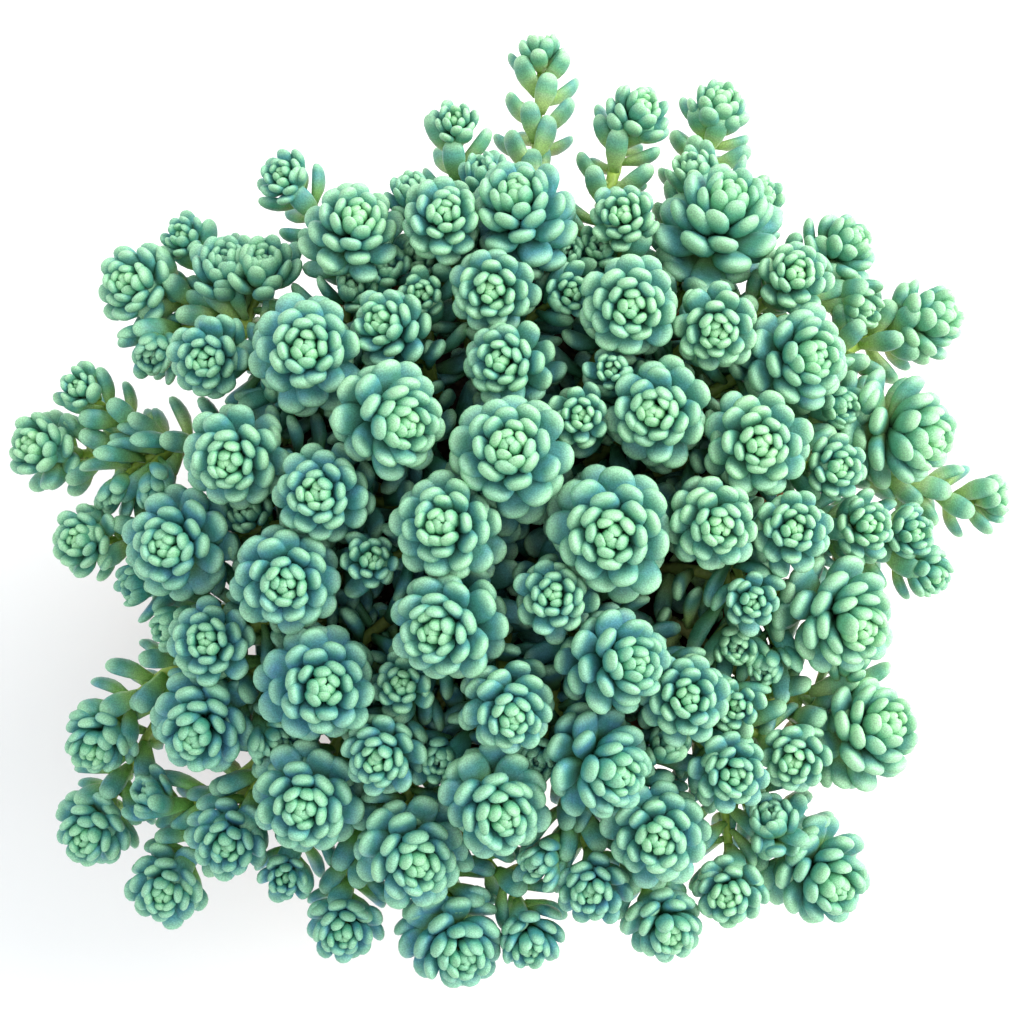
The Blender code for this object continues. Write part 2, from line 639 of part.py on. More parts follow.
def build_shoots():
    """Every leafy stem, with its side shoots and loose leaves joined into one solid."""
    shoots = {head.name: Shoot(head) for head in HEADS}
    for shoot in sorted(shoots.values(), key=lambda s: s.head.parent != ""):
        shoot.lay_path(shoots)
    members = {}
    for shoot in shoots.values():
        members.setdefault(family(shoot), []).append(shoot)
    for name, group in members.items():
        pieces = bpy.data.collections.new(name + "_pieces")
        bpy.context.scene.collection.children.link(pieces)
        main = None
        for shoot in group:
            others = [s for s in shoots.values() if s is not shoot]
            near = [s for s in others if (s.middle - shoot.middle).length < NEAR]
            crossing = [s for s in others if (s.middle - shoot.middle).length < STEMS_NEAR]
            bm = shoot_mesh(shoot, near, crossing)
            home = None if shoot.name == name else pieces
            made = object_of("stem_" + shoot.name, bm, LEAF, home)
            main = made if shoot.name == name else main
            for index in range(shoot.head.leaves):
                leaf = stem_leaf_mesh(shoot, index, near, crossing)
                if leaf:
                    object_of("stem_leaf", leaf, LEAF, pieces)
        if pieces.objects:
            join(main, pieces)
        else:
            bpy.data.collections.remove(pieces)
    return [s.foot for s in shoots.values() if not s.head.parent]


def main():
    for old in list(bpy.data.objects):
        bpy.data.objects.remove(old)
    pot()
    holes = build_shoots()
    soil(holes)


main()
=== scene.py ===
"""A potted sedum: a cushion of blue-green stonecrop that spills over a plain clay pot.

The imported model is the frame. Each leafy stem gets plump leaves that wind up it by the golden
angle into a domed rosette, and each rosette presses against the ones beside it. The pot and
its soil get their finish.
"""

import json
import math
from collections import namedtuple
from functools import partial

import bpy
import numpy as np
from mathutils import Matrix, Vector

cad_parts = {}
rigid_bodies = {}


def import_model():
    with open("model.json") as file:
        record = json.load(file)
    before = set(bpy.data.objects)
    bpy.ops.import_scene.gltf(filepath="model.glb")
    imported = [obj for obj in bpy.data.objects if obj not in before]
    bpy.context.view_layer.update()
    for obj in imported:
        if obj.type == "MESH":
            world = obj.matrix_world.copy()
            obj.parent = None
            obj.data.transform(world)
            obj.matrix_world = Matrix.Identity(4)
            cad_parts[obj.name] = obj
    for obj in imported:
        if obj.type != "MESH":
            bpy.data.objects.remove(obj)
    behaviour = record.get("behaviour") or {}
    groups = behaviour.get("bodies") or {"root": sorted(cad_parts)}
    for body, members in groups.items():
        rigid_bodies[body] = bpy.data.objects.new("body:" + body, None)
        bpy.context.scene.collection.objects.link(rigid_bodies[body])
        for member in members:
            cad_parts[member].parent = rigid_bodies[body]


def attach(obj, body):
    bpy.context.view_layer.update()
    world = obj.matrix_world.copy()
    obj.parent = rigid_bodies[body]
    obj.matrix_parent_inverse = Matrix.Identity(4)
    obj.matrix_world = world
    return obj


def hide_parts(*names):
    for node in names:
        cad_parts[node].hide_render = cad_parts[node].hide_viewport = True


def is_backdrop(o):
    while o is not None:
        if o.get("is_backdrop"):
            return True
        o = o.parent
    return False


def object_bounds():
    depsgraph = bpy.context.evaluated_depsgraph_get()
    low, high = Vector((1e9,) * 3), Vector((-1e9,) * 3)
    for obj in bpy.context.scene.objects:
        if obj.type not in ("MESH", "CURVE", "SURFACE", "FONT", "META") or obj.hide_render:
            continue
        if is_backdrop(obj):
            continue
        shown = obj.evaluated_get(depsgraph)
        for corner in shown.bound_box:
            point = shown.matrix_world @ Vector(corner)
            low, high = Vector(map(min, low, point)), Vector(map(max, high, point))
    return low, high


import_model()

bl_info = {
    "name": "Potted sedum",
    "version": (1, 0, 0),
    "blender": (4, 5, 0),
    "location": "3D View > Sidebar > Sedum",
    "description": "Grows leafy stonecrop stems over a clay pot",
    "category": "Add Mesh",
}

MM = 0.001
FRAME_LOW, FRAME_HIGH = np.array(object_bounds())

# The pot and its soil, as the frame has them
RIM_RADIUS = 45 * MM
POT_HEIGHT = 78 * MM
BASE_RADIUS = 30 * MM
WALL = 4 * MM
BAND_HEIGHT = 16 * MM
BAND_STEP = 2.5 * MM
DRAIN_RADIUS = 6 * MM
SOIL_TOP = 71.5 * MM
SOIL_SWELL = 3 * MM
SOIL_GAP = 0.3 * MM
HOLE_DEPTH = 5 * MM

# Their finish: the pot's rounding, the soil's first rings, and its lumps as their wavelength,
# height in millimetres and seed
DRAIN_LIFT = 0.3 * MM
BAND_SLOPE = 1 * MM
ROUNDING = 1.2 * MM
CORNER_ROOM = 0.45
SOIL_EYE = 0.5 * MM
SOIL_EYE_SHARE = 0.02
LUMPS = ((5 * MM, 0.9, 5), (2 * MM, 0.4, 6))
LUMPS_DEPTH = 0.8 * MM

# The cushion: heads sit on a dome that falls away over the rim
CROWN_TOP = 113 * MM
CROWN_EDGE = 73 * MM
CROWN_RADIUS = 82 * MM
CROWN_POWER = 2.2
HOLE_SPREAD = 0.44
HOLE_REACH = 32.5 * MM
HOLE_TURN = math.radians(-6)
HOLE_TURN_FROM = 0.6

# The plan of heads is a view from above and a little in front, in perspective
VIEW_ELEVATION = math.radians(80)
VIEW_DISTANCE = 387 * MM
VIEW_MIDDLE = Vector((0.3 * MM, -3.8 * MM, 87 * MM))
VIEW_RIGHT = Vector((1, 0, 0))
VIEW_UP = Vector((0, math.sin(VIEW_ELEVATION), math.cos(VIEW_ELEVATION)))
VIEW_BACK = VIEW_RIGHT.cross(VIEW_UP)
VIEW_EYE = VIEW_MIDDLE + VIEW_BACK * VIEW_DISTANCE
VIEW_WIDTH = 1024 * 0.16 * MM
SENSOR_WIDTH = 36
RAY_STEPS = 12

# Stems: where side shoots branch and how each curve rises, arches and bends, as in the frame
STEM_RADIUS = 1.1 * MM
SIDE_STEM_RADIUS = 0.75 * MM
SIDE_BRANCH = 0.5
NEARBY = 0.02
SIDE_TILT = 3 * MM
STEM_RISE = 0.45
STEM_ARCH = 0.7
STEM_DRIFT = 0.08
BRANCH_BEND = 0.3
NECK_SHARE = 0.4
NECK = 9 * MM
SIDE_NECK = 6 * MM
SEATS = ((8.3 * MM, -0.98), (5.9 * MM, -0.80), (0, -0.70))

# Heads: how far one leans, how far its middle lies from its outline's middle to its eye, and
# how far its bud stands before its middle, in radii
MOST_LEAN = 0.93
EYE_SHIFT = 0.4
APEX = 0.20

# Leaves are counted from the bud. Age is that count, scaled so that a head ends at FULL_AGE.
FULL_AGE = 35
FULL_RADIUS = 10 * MM
MOST_LEAVES = 240
TURN_BETWEEN = 1.7
FIRST_SEED = 100

# How closely leaves cover a head, and over how many more they go over to stem leaves: the
# least, what each millimetre above a small radius adds, and the most
COVER = 0.55
STRETCH, STRETCH_GAIN, STRETCH_MOST = 4, 5, 34
SMALL_RADIUS = 4

# How a small head's count and its bud's width shrink, and how fast leaves grow long
SMALL_POWER = 0.4
BUD_WIDTH = 1.8 * MM
GROWTH = 3.5

# In a head, as powers of a leaf's share of the count and as shares of the radius. The first
# leaves ease in to their place and looseness. A rise's cosine stays between two limits.
TIP_POWER, DEPTH_POWER, WIDTH_POWER = 0.92, 0.67, 0.75
ROOT_OUT = 0.11
EASE_IN = 4
RISE_COSINES = (-0.2, 0.999)
FIRST_STEP = 0.03
LEAST_DEPTH = 1.1

# What the bud's leaves have more of, and over how many leaves that fades
BUD_THICKNESS, BUD_THICK_LEAVES = 0.28, 5
BUD_CUP, BUD_CUP_LEAVES = 0.09, 8

# Down a stem: spacing in the middle and what it loses at the cushion's edge, the share of the
# stem that bears leaves, how steeply the last leaves rise, in degrees, and how soon they do
STEP_MIDDLE, STEP_LOSS = 1.2, 0.5
LEAFY_STEM, LEAFY_SIDE = 0.90, 0.80
STEEP, FLAT, STEEP_LOSS = 44, -6, 7
FADE = 0.4

# How loosely leaves keep to the rule: in turn, length, width, rise and twist
LOOSE_TURN, LOOSE_LENGTH, LOOSE_WIDTH, LOOSE_RISE, LOOSE_TWIST = 0.09, 0.09, 0.05, 0.12, 0.12

# Which leaves press on their neighbours, crowd the others out and get fine meshes, in leaves
# past a full head; and from which share of a head on a leaf needs room
PRESSED_PAST, CROWD_PAST, FINE_PAST = 12, 8, 10
ROOM_FROM = 0.6

# Painted sunlight on a shoot, which paints its leaves brighter, paler and yellower as if warm
# light fell on them from the right and the back: everywhere, more to the right and the back,
# and on the long shoots that stand clear; how much shoots differ; the shares of shoot and of a
# leaf's own random tone; and where leaves get light to their bases, from the cushion's middle:
# inside it, leaf bases and stems are painted in shade
SUN, SUN_RIGHT, SUN_BACK, SUN_BACK_LOSS = 0.43, 0.55, 0.42, 0.4
SUN_CLEAR, CLEAR_FROM, CLEAR_SPAN, CLEAR_BACK = 0.35, 0.8, 0.12, -0.1
SUN_DRAW = 0.25
SHOOT_PAINTED_SUN, LEAF_TINT = 0.65, 0.35
OPEN_FROM, OPEN_SPAN = 0.45, 0.4

# A spray's leaves: how deep they go, and their length and reach beside a head's
SPRAY_DEPTH = 13 * MM
SPRAY_LENGTH = 1.3
SPRAY_REACH = 0.75

# Heads that press on one another: how near they stand, how far a plane gives way, the share
# of a leaf's size that stays behind it, how far a pressed tip rises, how far inside the frame's
# box a tip stays, in its thickness, and how narrow a shortened leaf gets
NEAR_HEADS = 35 * MM
PRESS_SLACK = 1.12
PRESS_ROUNDS = 3
PRESS_BODY = 0.42
PRESS_RISE = 0.45
INSET = 0.4
NARROWEST, NARROW_POWER = 0.3, 0.4

# Room for a lower leaf. Three balls fill a leaf: how far along it they lie, and their sizes.
# A leaf tries these shares of its length, and these bends up or down the stem.
BALLS_AT = np.array([0.40, 0.66, 0.90])
BALL_SIZES = np.array([0.85, 1.0, 0.8])
BALL_SHARE = 0.25
REACHES = (1, 0.85, 0.7)
LIFTS = (0, 0.3, -0.3, 0.6, 1.0)
CLEAR_SHARE = 0.62
POT_CLEAR_SHARE = 0.8
NEAR_LEAVES = 20 * MM

# A leaf swells from its foot's width to full by a share of its length, and its tip is rounded
# by a power. Its section is a superellipse of this power, flatter above than below.
FOOT_WIDTH, FULL_BY, TIP_ROUND = 0.5, 0.55, 8
SECTION_POWER = 0.85
SECTION_ABOVE, SECTION_BELOW = 0.42, 0.58

# A stem's radius is this share of its own, swells by another at each leaf, and starts small in
# the head. Its skin is old at FULL_STEM.
STEM_THIN, STEM_SWELL, STEM_WAVE = 0.92, 0.10, 0.9 * MM
STEM_START, STEM_FULL_BY = 0.35, 0.5
FULL_STEM = 30 * MM

# Meshes: rings and sides of a leaf near the bud and below it, of a stem, and of the turned
# pieces
NEAR_GRID = (8, 12)
FAR_GRID = (6, 8)
STEM_GRID = (28, 8)
STEM_STEPS, BUD_STEPS, STEM_BALLS = 60, 12, 40
POT_SIDES = 128
SOIL_RINGS, SOIL_SIDES = 48, 120

# The names of the leaves' and stems' point attributes
POINT_VALUES = ("along", "face", "age", "tint", "open")

# A Mix of colours: its inputs and its output by number
MIX_AMOUNT, MIX_UNDER, MIX_OVER = 0, 6, 7
MIXED = 2

# The studio, from the pot's foot
FLOOR_HALF = 3.0
KEY_PLACE, KEY_SIZE = (0.9, 0.35, 0.8), 0.9
FILL_PLACE, FILL_SIZE = (-0.2, -0.3, 1.1), 0.8
SKY_COLOUR = "#F7FBFF"

Leaves = namedtuple("Leaves", "root tip upper width thick cup age tint open")
Rule = namedtuple("Rule", "radius leaves long wide stretch")

# A head as it shows on the plan, in millimetres from the plan's middle: its number, the middle
# of its outline (across, up), its width, how far its eye shows from that middle (across, up),
# how deep it sits below the dome, and the head whose stem it branches from.
Head = namedtuple("Head", "name across up width eye_across eye_up sink parent", defaults=(0, ""))
HEAD_PLAN = {
    "back_left": (
        (2, -25.4, 44.6, 15.2, 1.0, 3.6),
        (1, -35.7, 52.8, 8.6, -1.6, 1.6, 1, "back_left_2"),
        (3, -11.0, 46.6, 13.8, 0.4, 1.8),
        (4, -9.0, 61.0, 7.4, -0.2, 2.2, 0, "back_left_3"),
    ),
    "back_mid": (
        (1, 1.3, 47.5, 18.0, -0.8, 5.0),
        (2, 4.6, 72.0, 7.8, 0.0, 3.7, 1, "back_mid_1"),
        (3, 19.5, 62.4, 10.6, 1.9, 3.4),
        (4, 17.9, 46.6, 10.6, -0.4, 1.6, 3, "crown_3"),
    ),
    "back_right": (
        (1, 33.3, 45.8, 20.0, 2.1, 6.7),
        (2, 32.5, 63.0, 10.6, 1.3, 4.4, 2, "back_right_1"),
        (3, 44.6, 37.3, 11.8, 1.4, 1.5),
        (4, 51.8, 41.6, 12.0, 4.0, 2.8, 4, "back_right_3"),
    ),
    "right": (
        (1, 65.0, 30.4, 13.0, 6.0, 2.0),
        (2, 62.1, 12.8, 17.6, 6.9, -1.6),
        (3, 75.4, 1.8, 8.0, 3.8, 0.3, 1, "right_2"),
        (4, 45.4, 24.6, 17.0, 4.3, 0.2),
        (5, 51.2, 7.2, 10.2, 1.8, 0.0, 2, "crown_11"),
        (6, 55.5, -2.4, 9.8, 2.4, 0.2, 3),
        (7, 62.6, -3.2, 8.4, 2.6, 0.0, 4, "right_6"),
        (8, 65.4, -9.0, 8.4, 3.0, -1.8, 5, "right_6"),
        (9, 44.5, -2.9, 12.6, 1.0, 0.3),
        (10, 52.5, -16.8, 18.0, 4.8, -2.4),
        (11, 38.0, -14.0, 8.8, 0.6, -0.6, 4, "right_9"),
    ),
    "left": (
        (1, -59.2, 36.0, 13.6, -3.4, 1.2),
        (2, -51.5, 43.0, 7.0, -1.6, 1.6, 5, "left_1"),
        (3, -48.2, 24.8, 12.4, -1.6, -0.8, 1),
        (4, -32.6, 25.6, 18.6, -0.5, 1.0),
        (5, -19.2, 29.2, 12.8, -2.6, 1.8, 5),
        (6, -14.0, 34.6, 7.6, -0.6, 0.4, 9, "left_5"),
        (7, -74.2, 10.0, 12.4, -3.6, 1.2),
        (8, -68.5, 19.2, 6.6, -1.4, 1.2, 0, "left_7"),
        (9, -44.2, 8.8, 16.4, -1.8, -1.2),
        (10, -30.4, 2.9, 15.0, -1.1, 0.2, 1),
        (11, -67.5, -4.6, 11.0, -2.8, 0.0, 2, "left_12"),
        (12, -53.4, -5.0, 16.8, -2.8, -0.5),
        (13, -36.2, -10.6, 17.0, -0.3, -1.4),
        (14, -48.0, -21.0, 13.6, -1.4, 0.4, 1),
    ),
    "crown": (
        (1, -3.0, 35.5, 14.0, -0.5, -0.3, 4),
        (2, 9.0, 34.9, 7.8, 0.8, 0.2, 8, "crown_1"),
        (3, 18.7, 32.8, 16.2, 0.7, 0.0),
        (4, 32.6, 29.6, 13.4, 0.4, -1.0),
        (5, -0.5, 24.0, 14.0, -1.8, 0.4, 5),
        (6, -19.8, 14.9, 18.6, 4.0, -1.4),
        (7, -0.3, 9.1, 20.6, -0.2, 2.2),
        (8, 23.2, 16.2, 17.0, -0.8, -0.2, 3),
        (9, 16.2, 22.6, 6.0, -0.3, 0.3, 6, "crown_8"),
        (10, 11.0, 15.2, 9.4, 0.0, 0.2, 5, "crown_8"),
        (11, 39.2, 10.9, 16.4, 1.0, -0.2),
        (12, 32.2, -1.6, 14.4, 1.3, -1.3),
        (13, 16.0, -3.4, 21.6, -0.2, -0.8),
        (14, -10.2, -2.4, 17.6, -1.8, 0.6, 1),
        (15, -22.7, -8.0, 8.8, 0.3, 0.5, 7, "crown_14"),
        (16, -10.4, -18.2, 17.6, -2.9, -1.3),
        (17, -17.2, -28.0, 10.0, -0.8, 0.6, 8, "crown_16"),
        (18, 6.9, -13.6, 12.0, -0.3, 0.3, 3),
        (19, 16.8, -24.0, 16.8, 4.3, -0.3),
        (20, 27.7, -29.8, 14.0, 0.8, 0.0, 1),
        (21, 35.8, -31.0, 8.0, 0.0, -0.3, 6, "crown_20"),
        (22, -30.6, -27.7, 19.0, 0.8, -0.5),
        (23, -0.6, -31.4, 14.0, 1.1, -2.4),
    ),
    "front_left": (
        (1, -49.3, -33.6, 16.4, -2.0, -3.2),
        (2, -65.4, -35.7, 11.6, -2.4, -3.5, 1),
        (3, -66.7, -50.2, 12.6, -2.2, -3.0, 0, "front_left_2"),
        (4, -45.1, -51.8, 12.4, -0.9, -2.4),
        (5, -55.0, -59.5, 12.8, -1.2, -2.4, 0, "front_left_4"),
        (6, -32.8, -45.9, 17.4, -1.1, -2.4),
        (7, -36.0, -57.6, 7.6, -0.4, -1.4, 4, "front_left_6"),
        (8, -20.6, -38.4, 12.6, -1.4, -1.9, 3),
    ),
    "front_mid": (
        (1, -16.2, -54.4, 17.0, 1.8, -3.2),
        (2, -26.9, -65.3, 11.6, -0.2, -3.2, 1),
        (3, -9.1, -68.0, 16.4, 1.8, -4.4),
        (4, 2.6, -67.0, 10.8, 0.2, -3.8, 2, "front_mid_3"),
        (5, -2.6, -46.6, 17.6, 1.8, -3.4),
        (6, 13.8, -40.5, 17.0, 4.8, -2.6),
        (7, 12.8, -59.5, 11.6, -0.5, -2.0, 2),
        (8, 24.2, -65.3, 12.6, 1.8, -3.4),
        (9, 23.0, -51.4, 16.4, 0.5, -1.8),
    ),
    "front_right": (
        (1, 34.6, -41.3, 12.2, 1.4, -1.2, 1),
        (2, 45.3, -38.9, 11.0, -0.4, -1.5, 3, "front_right_1"),
        (3, 56.6, -35.2, 17.0, 5.3, 1.8),
        (4, 34.7, -60.2, 11.2, -0.3, -1.8, 1, "front_right_5"),
        (5, 49.0, -57.6, 16.6, 4.0, -3.4),
    ),
}

# Sprays, small side shoots with longer leaves: the head whose stem each one branches from,
# then its place, width, eye and depth as above
SPRAY_PLAN = (
    ("left_1", -40.2, 37.0, 12.0, 0.4, 3.4, 8),
    ("left_1", -45.4, 37.0, 12.0, -0.6, 3.4, 7),
    ("left_1", -56.6, 27.0, 9.0, -1.0, -2.0, 7),
    ("left_3", -37.8, 18.6, 8.0, 0.6, 1.6, 13),
    ("left_7", -62.0, 5.0, 8.0, -1.6, -2.8, 8),
    ("left_7", -57.4, 5.6, 8.0, 0.4, -2.8, 9),
    ("left_9", -41.6, -0.6, 8.0, -0.8, 0.8, 13),
    ("left_12", -57.0, -10.6, 8.0, -3.0, -1.2, 9),
    ("left_14", -52.0, -17.0, 8.0, -2.8, -1.4, 10),
    ("front_left_1", -39.0, -35.4, 8.0, 1.4, -1.6, 9),
    ("front_left_4", -55.6, -46.4, 8.0, -2.4, 1.6, 7),
    ("front_mid_5", -11.0, -38.6, 8.0, -0.6, -1.2, 11),
    ("front_mid_6", 4.6, -38.6, 8.0, -0.6, -1.2, 11),
    ("front_mid_7", 6.2, -54.8, 8.0, -2.0, -1.4, 6),
    ("front_mid_9", 24.0, -38.6, 8.0, 1.0, 1.6, 10),
    ("front_right_5", 42.0, -51.0, 10.0, -0.6, 2.6, 6),
    ("front_right_3", 53.6, -25.6, 8.0, 0.8, 2.6, 8),
    ("right_10", 41.4, -22.8, 8.0, -0.8, -2.0, 11),
    ("right_9", 35.4, -20.6, 8.0, 0.4, -1.2, 14),
    ("right_4", 50.4, 17.6, 8.0, 2.4, -0.8, 9),
    ("back_right_3", 53.6, 33.6, 8.0, 2.6, -1.4, 8),
    ("back_right_1", 30.4, 52.2, 8.0, -1.2, 2.8, 6),
    ("back_right_1", 37.6, 48.4, 8.0, 2.4, 2.0, 7),
    ("back_mid_1", -4.0, 51.4, 8.0, -0.8, 3.0, 6),
    ("back_mid_1", 8.4, 41.0, 8.0, 0.4, 0.6, 13),
    ("back_mid_1", -7.2, 43.4, 8.0, -0.4, 0.8, 12),
    ("crown_3", 14.8, 42.2, 8.0, -0.4, 0.8, 12),
    ("back_left_3", -14.8, 48.4, 8.0, -1.2, 2.8, 6),
    ("back_left_3", -14.8, 41.0, 8.0, -0.2, 0.4, 13),
    ("left_4", -26.0, 34.6, 8.0, 0.6, 1.4, 13),
    ("left_4", -20.0, 38.4, 9.0, 0.0, 1.4, 11),
)

HEADS = [
    Head(f"{place}_{number}", *row)
    for place, rows in HEAD_PLAN.items()
    for number, *row in rows
]
SPRAYS = [
    Head(f"{parent}_spray_{number}", *row, parent)
    for number, (parent, *row) in enumerate(SPRAY_PLAN)
]


def linear(hex_colour):
    """An sRGB hex colour as linear red, green, blue and alpha."""
    shares = [int(hex_colour[i : i + 2], 16) / 255 for i in (1, 3, 5)]
    return (*[c / 12.92 if c <= 0.04045 else ((c + 0.055) / 1.055) ** 2.4 for c in shares], 1)


def colour(name, description, hex_colour):
    """A colour property whose default is an sRGB hex colour."""
    return bpy.props.FloatVectorProperty(
        name=name,
        description=description,
        subtype="COLOR",
        size=4,
        min=0,
        max=1,
        default=linear(hex_colour),
    )


def length(name, description, millimetres):
    """A length property whose default is given in millimetres."""
    return bpy.props.FloatProperty(
        name=name, description=description, unit="LENGTH", default=millimetres * MM, min=0
    )


def share(name, description, default):
    """A plain number property."""
    return bpy.props.FloatProperty(
        name=name, description=description, default=default, min=0, max=4
    )


class SedumLeaves(bpy.types.PropertyGroup):
    """How leaves follow one another down a shoot. Shares are of the head's radius."""

    golden_angle: bpy.props.FloatProperty(
        name="Angle between leaves",
        description="How far each leaf is turned from the one above it",
        subtype="ANGLE",
        default=math.radians(137.508),
    )
    head_leaves: bpy.props.IntProperty(
        name="Leaves in a head", description="Leaves of a full head", default=33, min=8, max=60
    )
    reach: share("Reach", "How far a full head's leaves reach", 1.13)
    head_depth: share("Head depth", "How far down the stem a head's leaves grow", 0.78)
    bud_length: share("Bud leaf length", "Length of the first leaf of the bud", 0.32)
    long_share: share("Length by radius", "What the radius adds to a leaf's length", 0.62)
    long_base: length("Least length", "Length of a leaf before the radius adds to it", 2.8)
    wide_share: share("Width by radius", "What the radius adds to a leaf's width", 0.47)
    wide_base: length("Least width", "Width of a leaf before the radius adds to it", 0.8)
    thickness: share("Thickness", "Thickness of a full-grown leaf, to its width", 0.54)
    cup: share("Cup", "How far a full-grown leaf bows, to its length", 0.06)
    stem_length: length("Stem leaf length", "Length of a leaf low on a stem", 7.8)
    stem_width: length("Stem leaf width", "Width of a leaf low on a stem", 3.7)
    stem_step: length("Stem leaf spacing", "Distance between leaves low on a stem", 1.7)


class SedumColours(bpy.types.PropertyGroup):
    """The colours of the plant, the pot and the soil."""

    young: colour("Young leaf", "The leaves of a bud", "#58AA74")
    grown: colour("Grown leaf", "The leaves of a rosette", "#358C6A")
    old: colour("Old leaf", "The leaves down a stem", "#34785C")
    bloom: colour("Bloom", "The waxy bloom on a leaf", "#64A6BC")
    # The pale tip and rim: partly the leaf's own colour where its bloom rubs off, partly a painted
    # highlight where the tips catch the light
    edge: colour("Edge", "The worn tip and rim of a leaf", "#9AD0A2")
    foot: colour("Foot", "The foot of a leaf on a stem, where its bloom is thin", "#88B650")
    # Painted shade: the dark green of leaf bases deep in a rosette and in the cushion's middle,
    # where the creases between leaves are in shade
    painted_crease_shade: colour("Heart", "The foot of a leaf in a rosette", "#1E6C49")
    stem: colour("Stem", "The stems", "#9CB94A")
    cork: colour("Cork", "The older skin of a stem", "#8B7A5A")
    clay: colour("Clay", "The fired clay of the pot", "#B4683F")
    salt: colour("Salt", "The pale salts on the clay", "#D9C3AE")
    soil: colour("Soil", "Damp potting soil", "#2A1F17")
    floor: colour("Floor", "The floor under the pot", "#FCFCFB")


class SedumLight(bpy.types.PropertyGroup):
    """The soft studio light."""

    sky: share("Sky", "Strength of the even light from all round", 1.05)
    key: bpy.props.FloatProperty(
        name="Key", description="Power of the lamp at the right", unit="POWER", default=20
    )
    fill: bpy.props.FloatProperty(
        name="Fill", description="Power of the lamp overhead", unit="POWER", default=1
    )


class Shoot:
    """A head on its stem: its middle, axis, radius and the curve of its stem."""

    def __init__(self, head, index):
        self.head, self.name, self.index = head, head.name, index
        self.spray = index >= len(HEADS)
        across = (head.across + EYE_SHIFT * head.eye_across) * MM
        up = (head.up + EYE_SHIFT * head.eye_up) * MM
        self.middle = seen_at(across, up, head.sink * MM)
        self.plan_radius = head.width / 2 * MM
        self.radius = self.plan_radius * (VIEW_EYE - self.middle).length / VIEW_DISTANCE
        lean = Vector((head.eye_across, head.eye_up)) * MM / self.plan_radius
        if lean.length > MOST_LEAN:
            lean = lean.normalized() * MOST_LEAN
        towards = (VIEW_EYE - self.middle).normalized()
        face = math.sqrt(1 - lean.length_squared)
        self.axis = (VIEW_RIGHT * lean.x + VIEW_UP * lean.y + towards * face).normalized()
        self.stem_radius = SIDE_STEM_RADIUS if head.parent else STEM_RADIUS

    def lay_path(self, shoots):
        """The four control points of the stem's curve, from its foot to its head."""
        depth = next(depth for least, depth in SEATS if self.plan_radius >= least)
        seat = self.middle + self.axis * depth * self.plan_radius
        if self.head.parent:
            start, rise = shoots[self.head.parent].on_stem(SIDE_BRANCH)
            span = seat - start
            leave = rise * BRANCH_BEND + span.normalized() * (1 - BRANCH_BEND)
            second = start + leave * span.length * NECK_SHARE
        else:
            start = hole_of(self.middle)
            over = max(0, math.hypot(seat.x, seat.y) - HOLE_REACH)
            lift = STEM_RISE * (seat.z - start.z) + STEM_ARCH * over
            second = start + Vector((seat.x * STEM_DRIFT, seat.y * STEM_DRIFT, lift))
        neck = SIDE_NECK if self.head.parent else NECK
        third = seat - self.axis * min(NECK_SHARE * (seat - start).length, neck)
        self.controls = np.array([start, second, third, seat])

    def on_stem(self, at):
        """The point at a share of the stem's curve, and the stem's direction there."""
        points = bezier(self.controls, np.array([at - NEARBY, at, at + NEARBY]))
        return Vector(points[1]), Vector(points[2] - points[0]).normalized()


def dome(across, along):
    """The height of the cushion's surface over a point of the plan."""
    out = math.hypot(across, along) / CROWN_RADIUS
    return CROWN_EDGE + (CROWN_TOP - CROWN_EDGE) * (1 - out**CROWN_POWER)


def seen_at(across, up, sink):
    """The point below the plan's point (across, up) that lies that deep under the dome."""
    ray = VIEW_MIDDLE + VIEW_RIGHT * across + VIEW_UP * up - VIEW_EYE
    point = VIEW_EYE + ray
    for _ in range(RAY_STEPS):
        height = dome(point.x, point.y) - sink
        point = VIEW_EYE + ray * ((height - VIEW_EYE.z) / ray.z)
    return point


def wall_radius(height):
    """The pot's outer radius below its band, at a height."""
    band_radius = RIM_RADIUS - BAND_STEP
    return BASE_RADIUS + (band_radius - BASE_RADIUS) * height / POT_HEIGHT


def inner_radius(height):
    """The pot's inner radius at a height."""
    low, high = wall_radius(WALL) - WALL, RIM_RADIUS - WALL
    return low + (high - low) * (height - WALL) / (POT_HEIGHT - WALL)


def soil_height(radius):
    """The soil's surface, a little higher in the middle."""
    return SOIL_TOP + SOIL_SWELL * (1 - (radius / inner_radius(SOIL_TOP)) ** 2)


def hole_of(middle):
    """Where a head's stem enters the soil. The outer holes turn a little round the pot."""
    out = math.hypot(middle.x, middle.y)
    radius = min(out * HOLE_SPREAD, HOLE_REACH)
    turn = HOLE_TURN * max(0, radius / HOLE_REACH - HOLE_TURN_FROM) / (1 - HOLE_TURN_FROM)
    angle = math.atan2(middle.y, middle.x) + turn
    height = soil_height(radius)
    return Vector((radius * math.cos(angle), radius * math.sin(angle), height))


def bezier(controls, at):
    """Points at shares of a cubic curve: its four control points weighed by the cubic's terms."""
    at = at[:, None]
    left = 1 - at
    weights = (left**3, 3 * left**2 * at, 3 * left * at**2, at**3)
    return sum(weight * point for weight, point in zip(weights, controls))


def unit(vectors):
    """Vectors made one long."""
    return vectors / np.maximum(np.linalg.norm(vectors, axis=-1, keepdims=True), 1e-12)


def dot(first, second):
    """The dot products of two arrays of vectors, as a column."""
    return np.sum(first * second, axis=-1, keepdims=True)


def spine_of(shoot):
    """Points down a shoot from its bud to its foot, and how far down each one lies."""
    stem = bezier(shoot.controls, np.linspace(1, 0, STEM_STEPS))
    apex = np.array(shoot.middle + shoot.axis * APEX * shoot.radius)
    core = apex + (stem[0] - apex) * np.linspace(0, 1, BUD_STEPS)[:-1, None]
    points = np.concatenate([core, stem])
    steps = np.linalg.norm(np.diff(points, axis=0), axis=1)
    return points, np.concatenate([[0], np.cumsum(steps)])


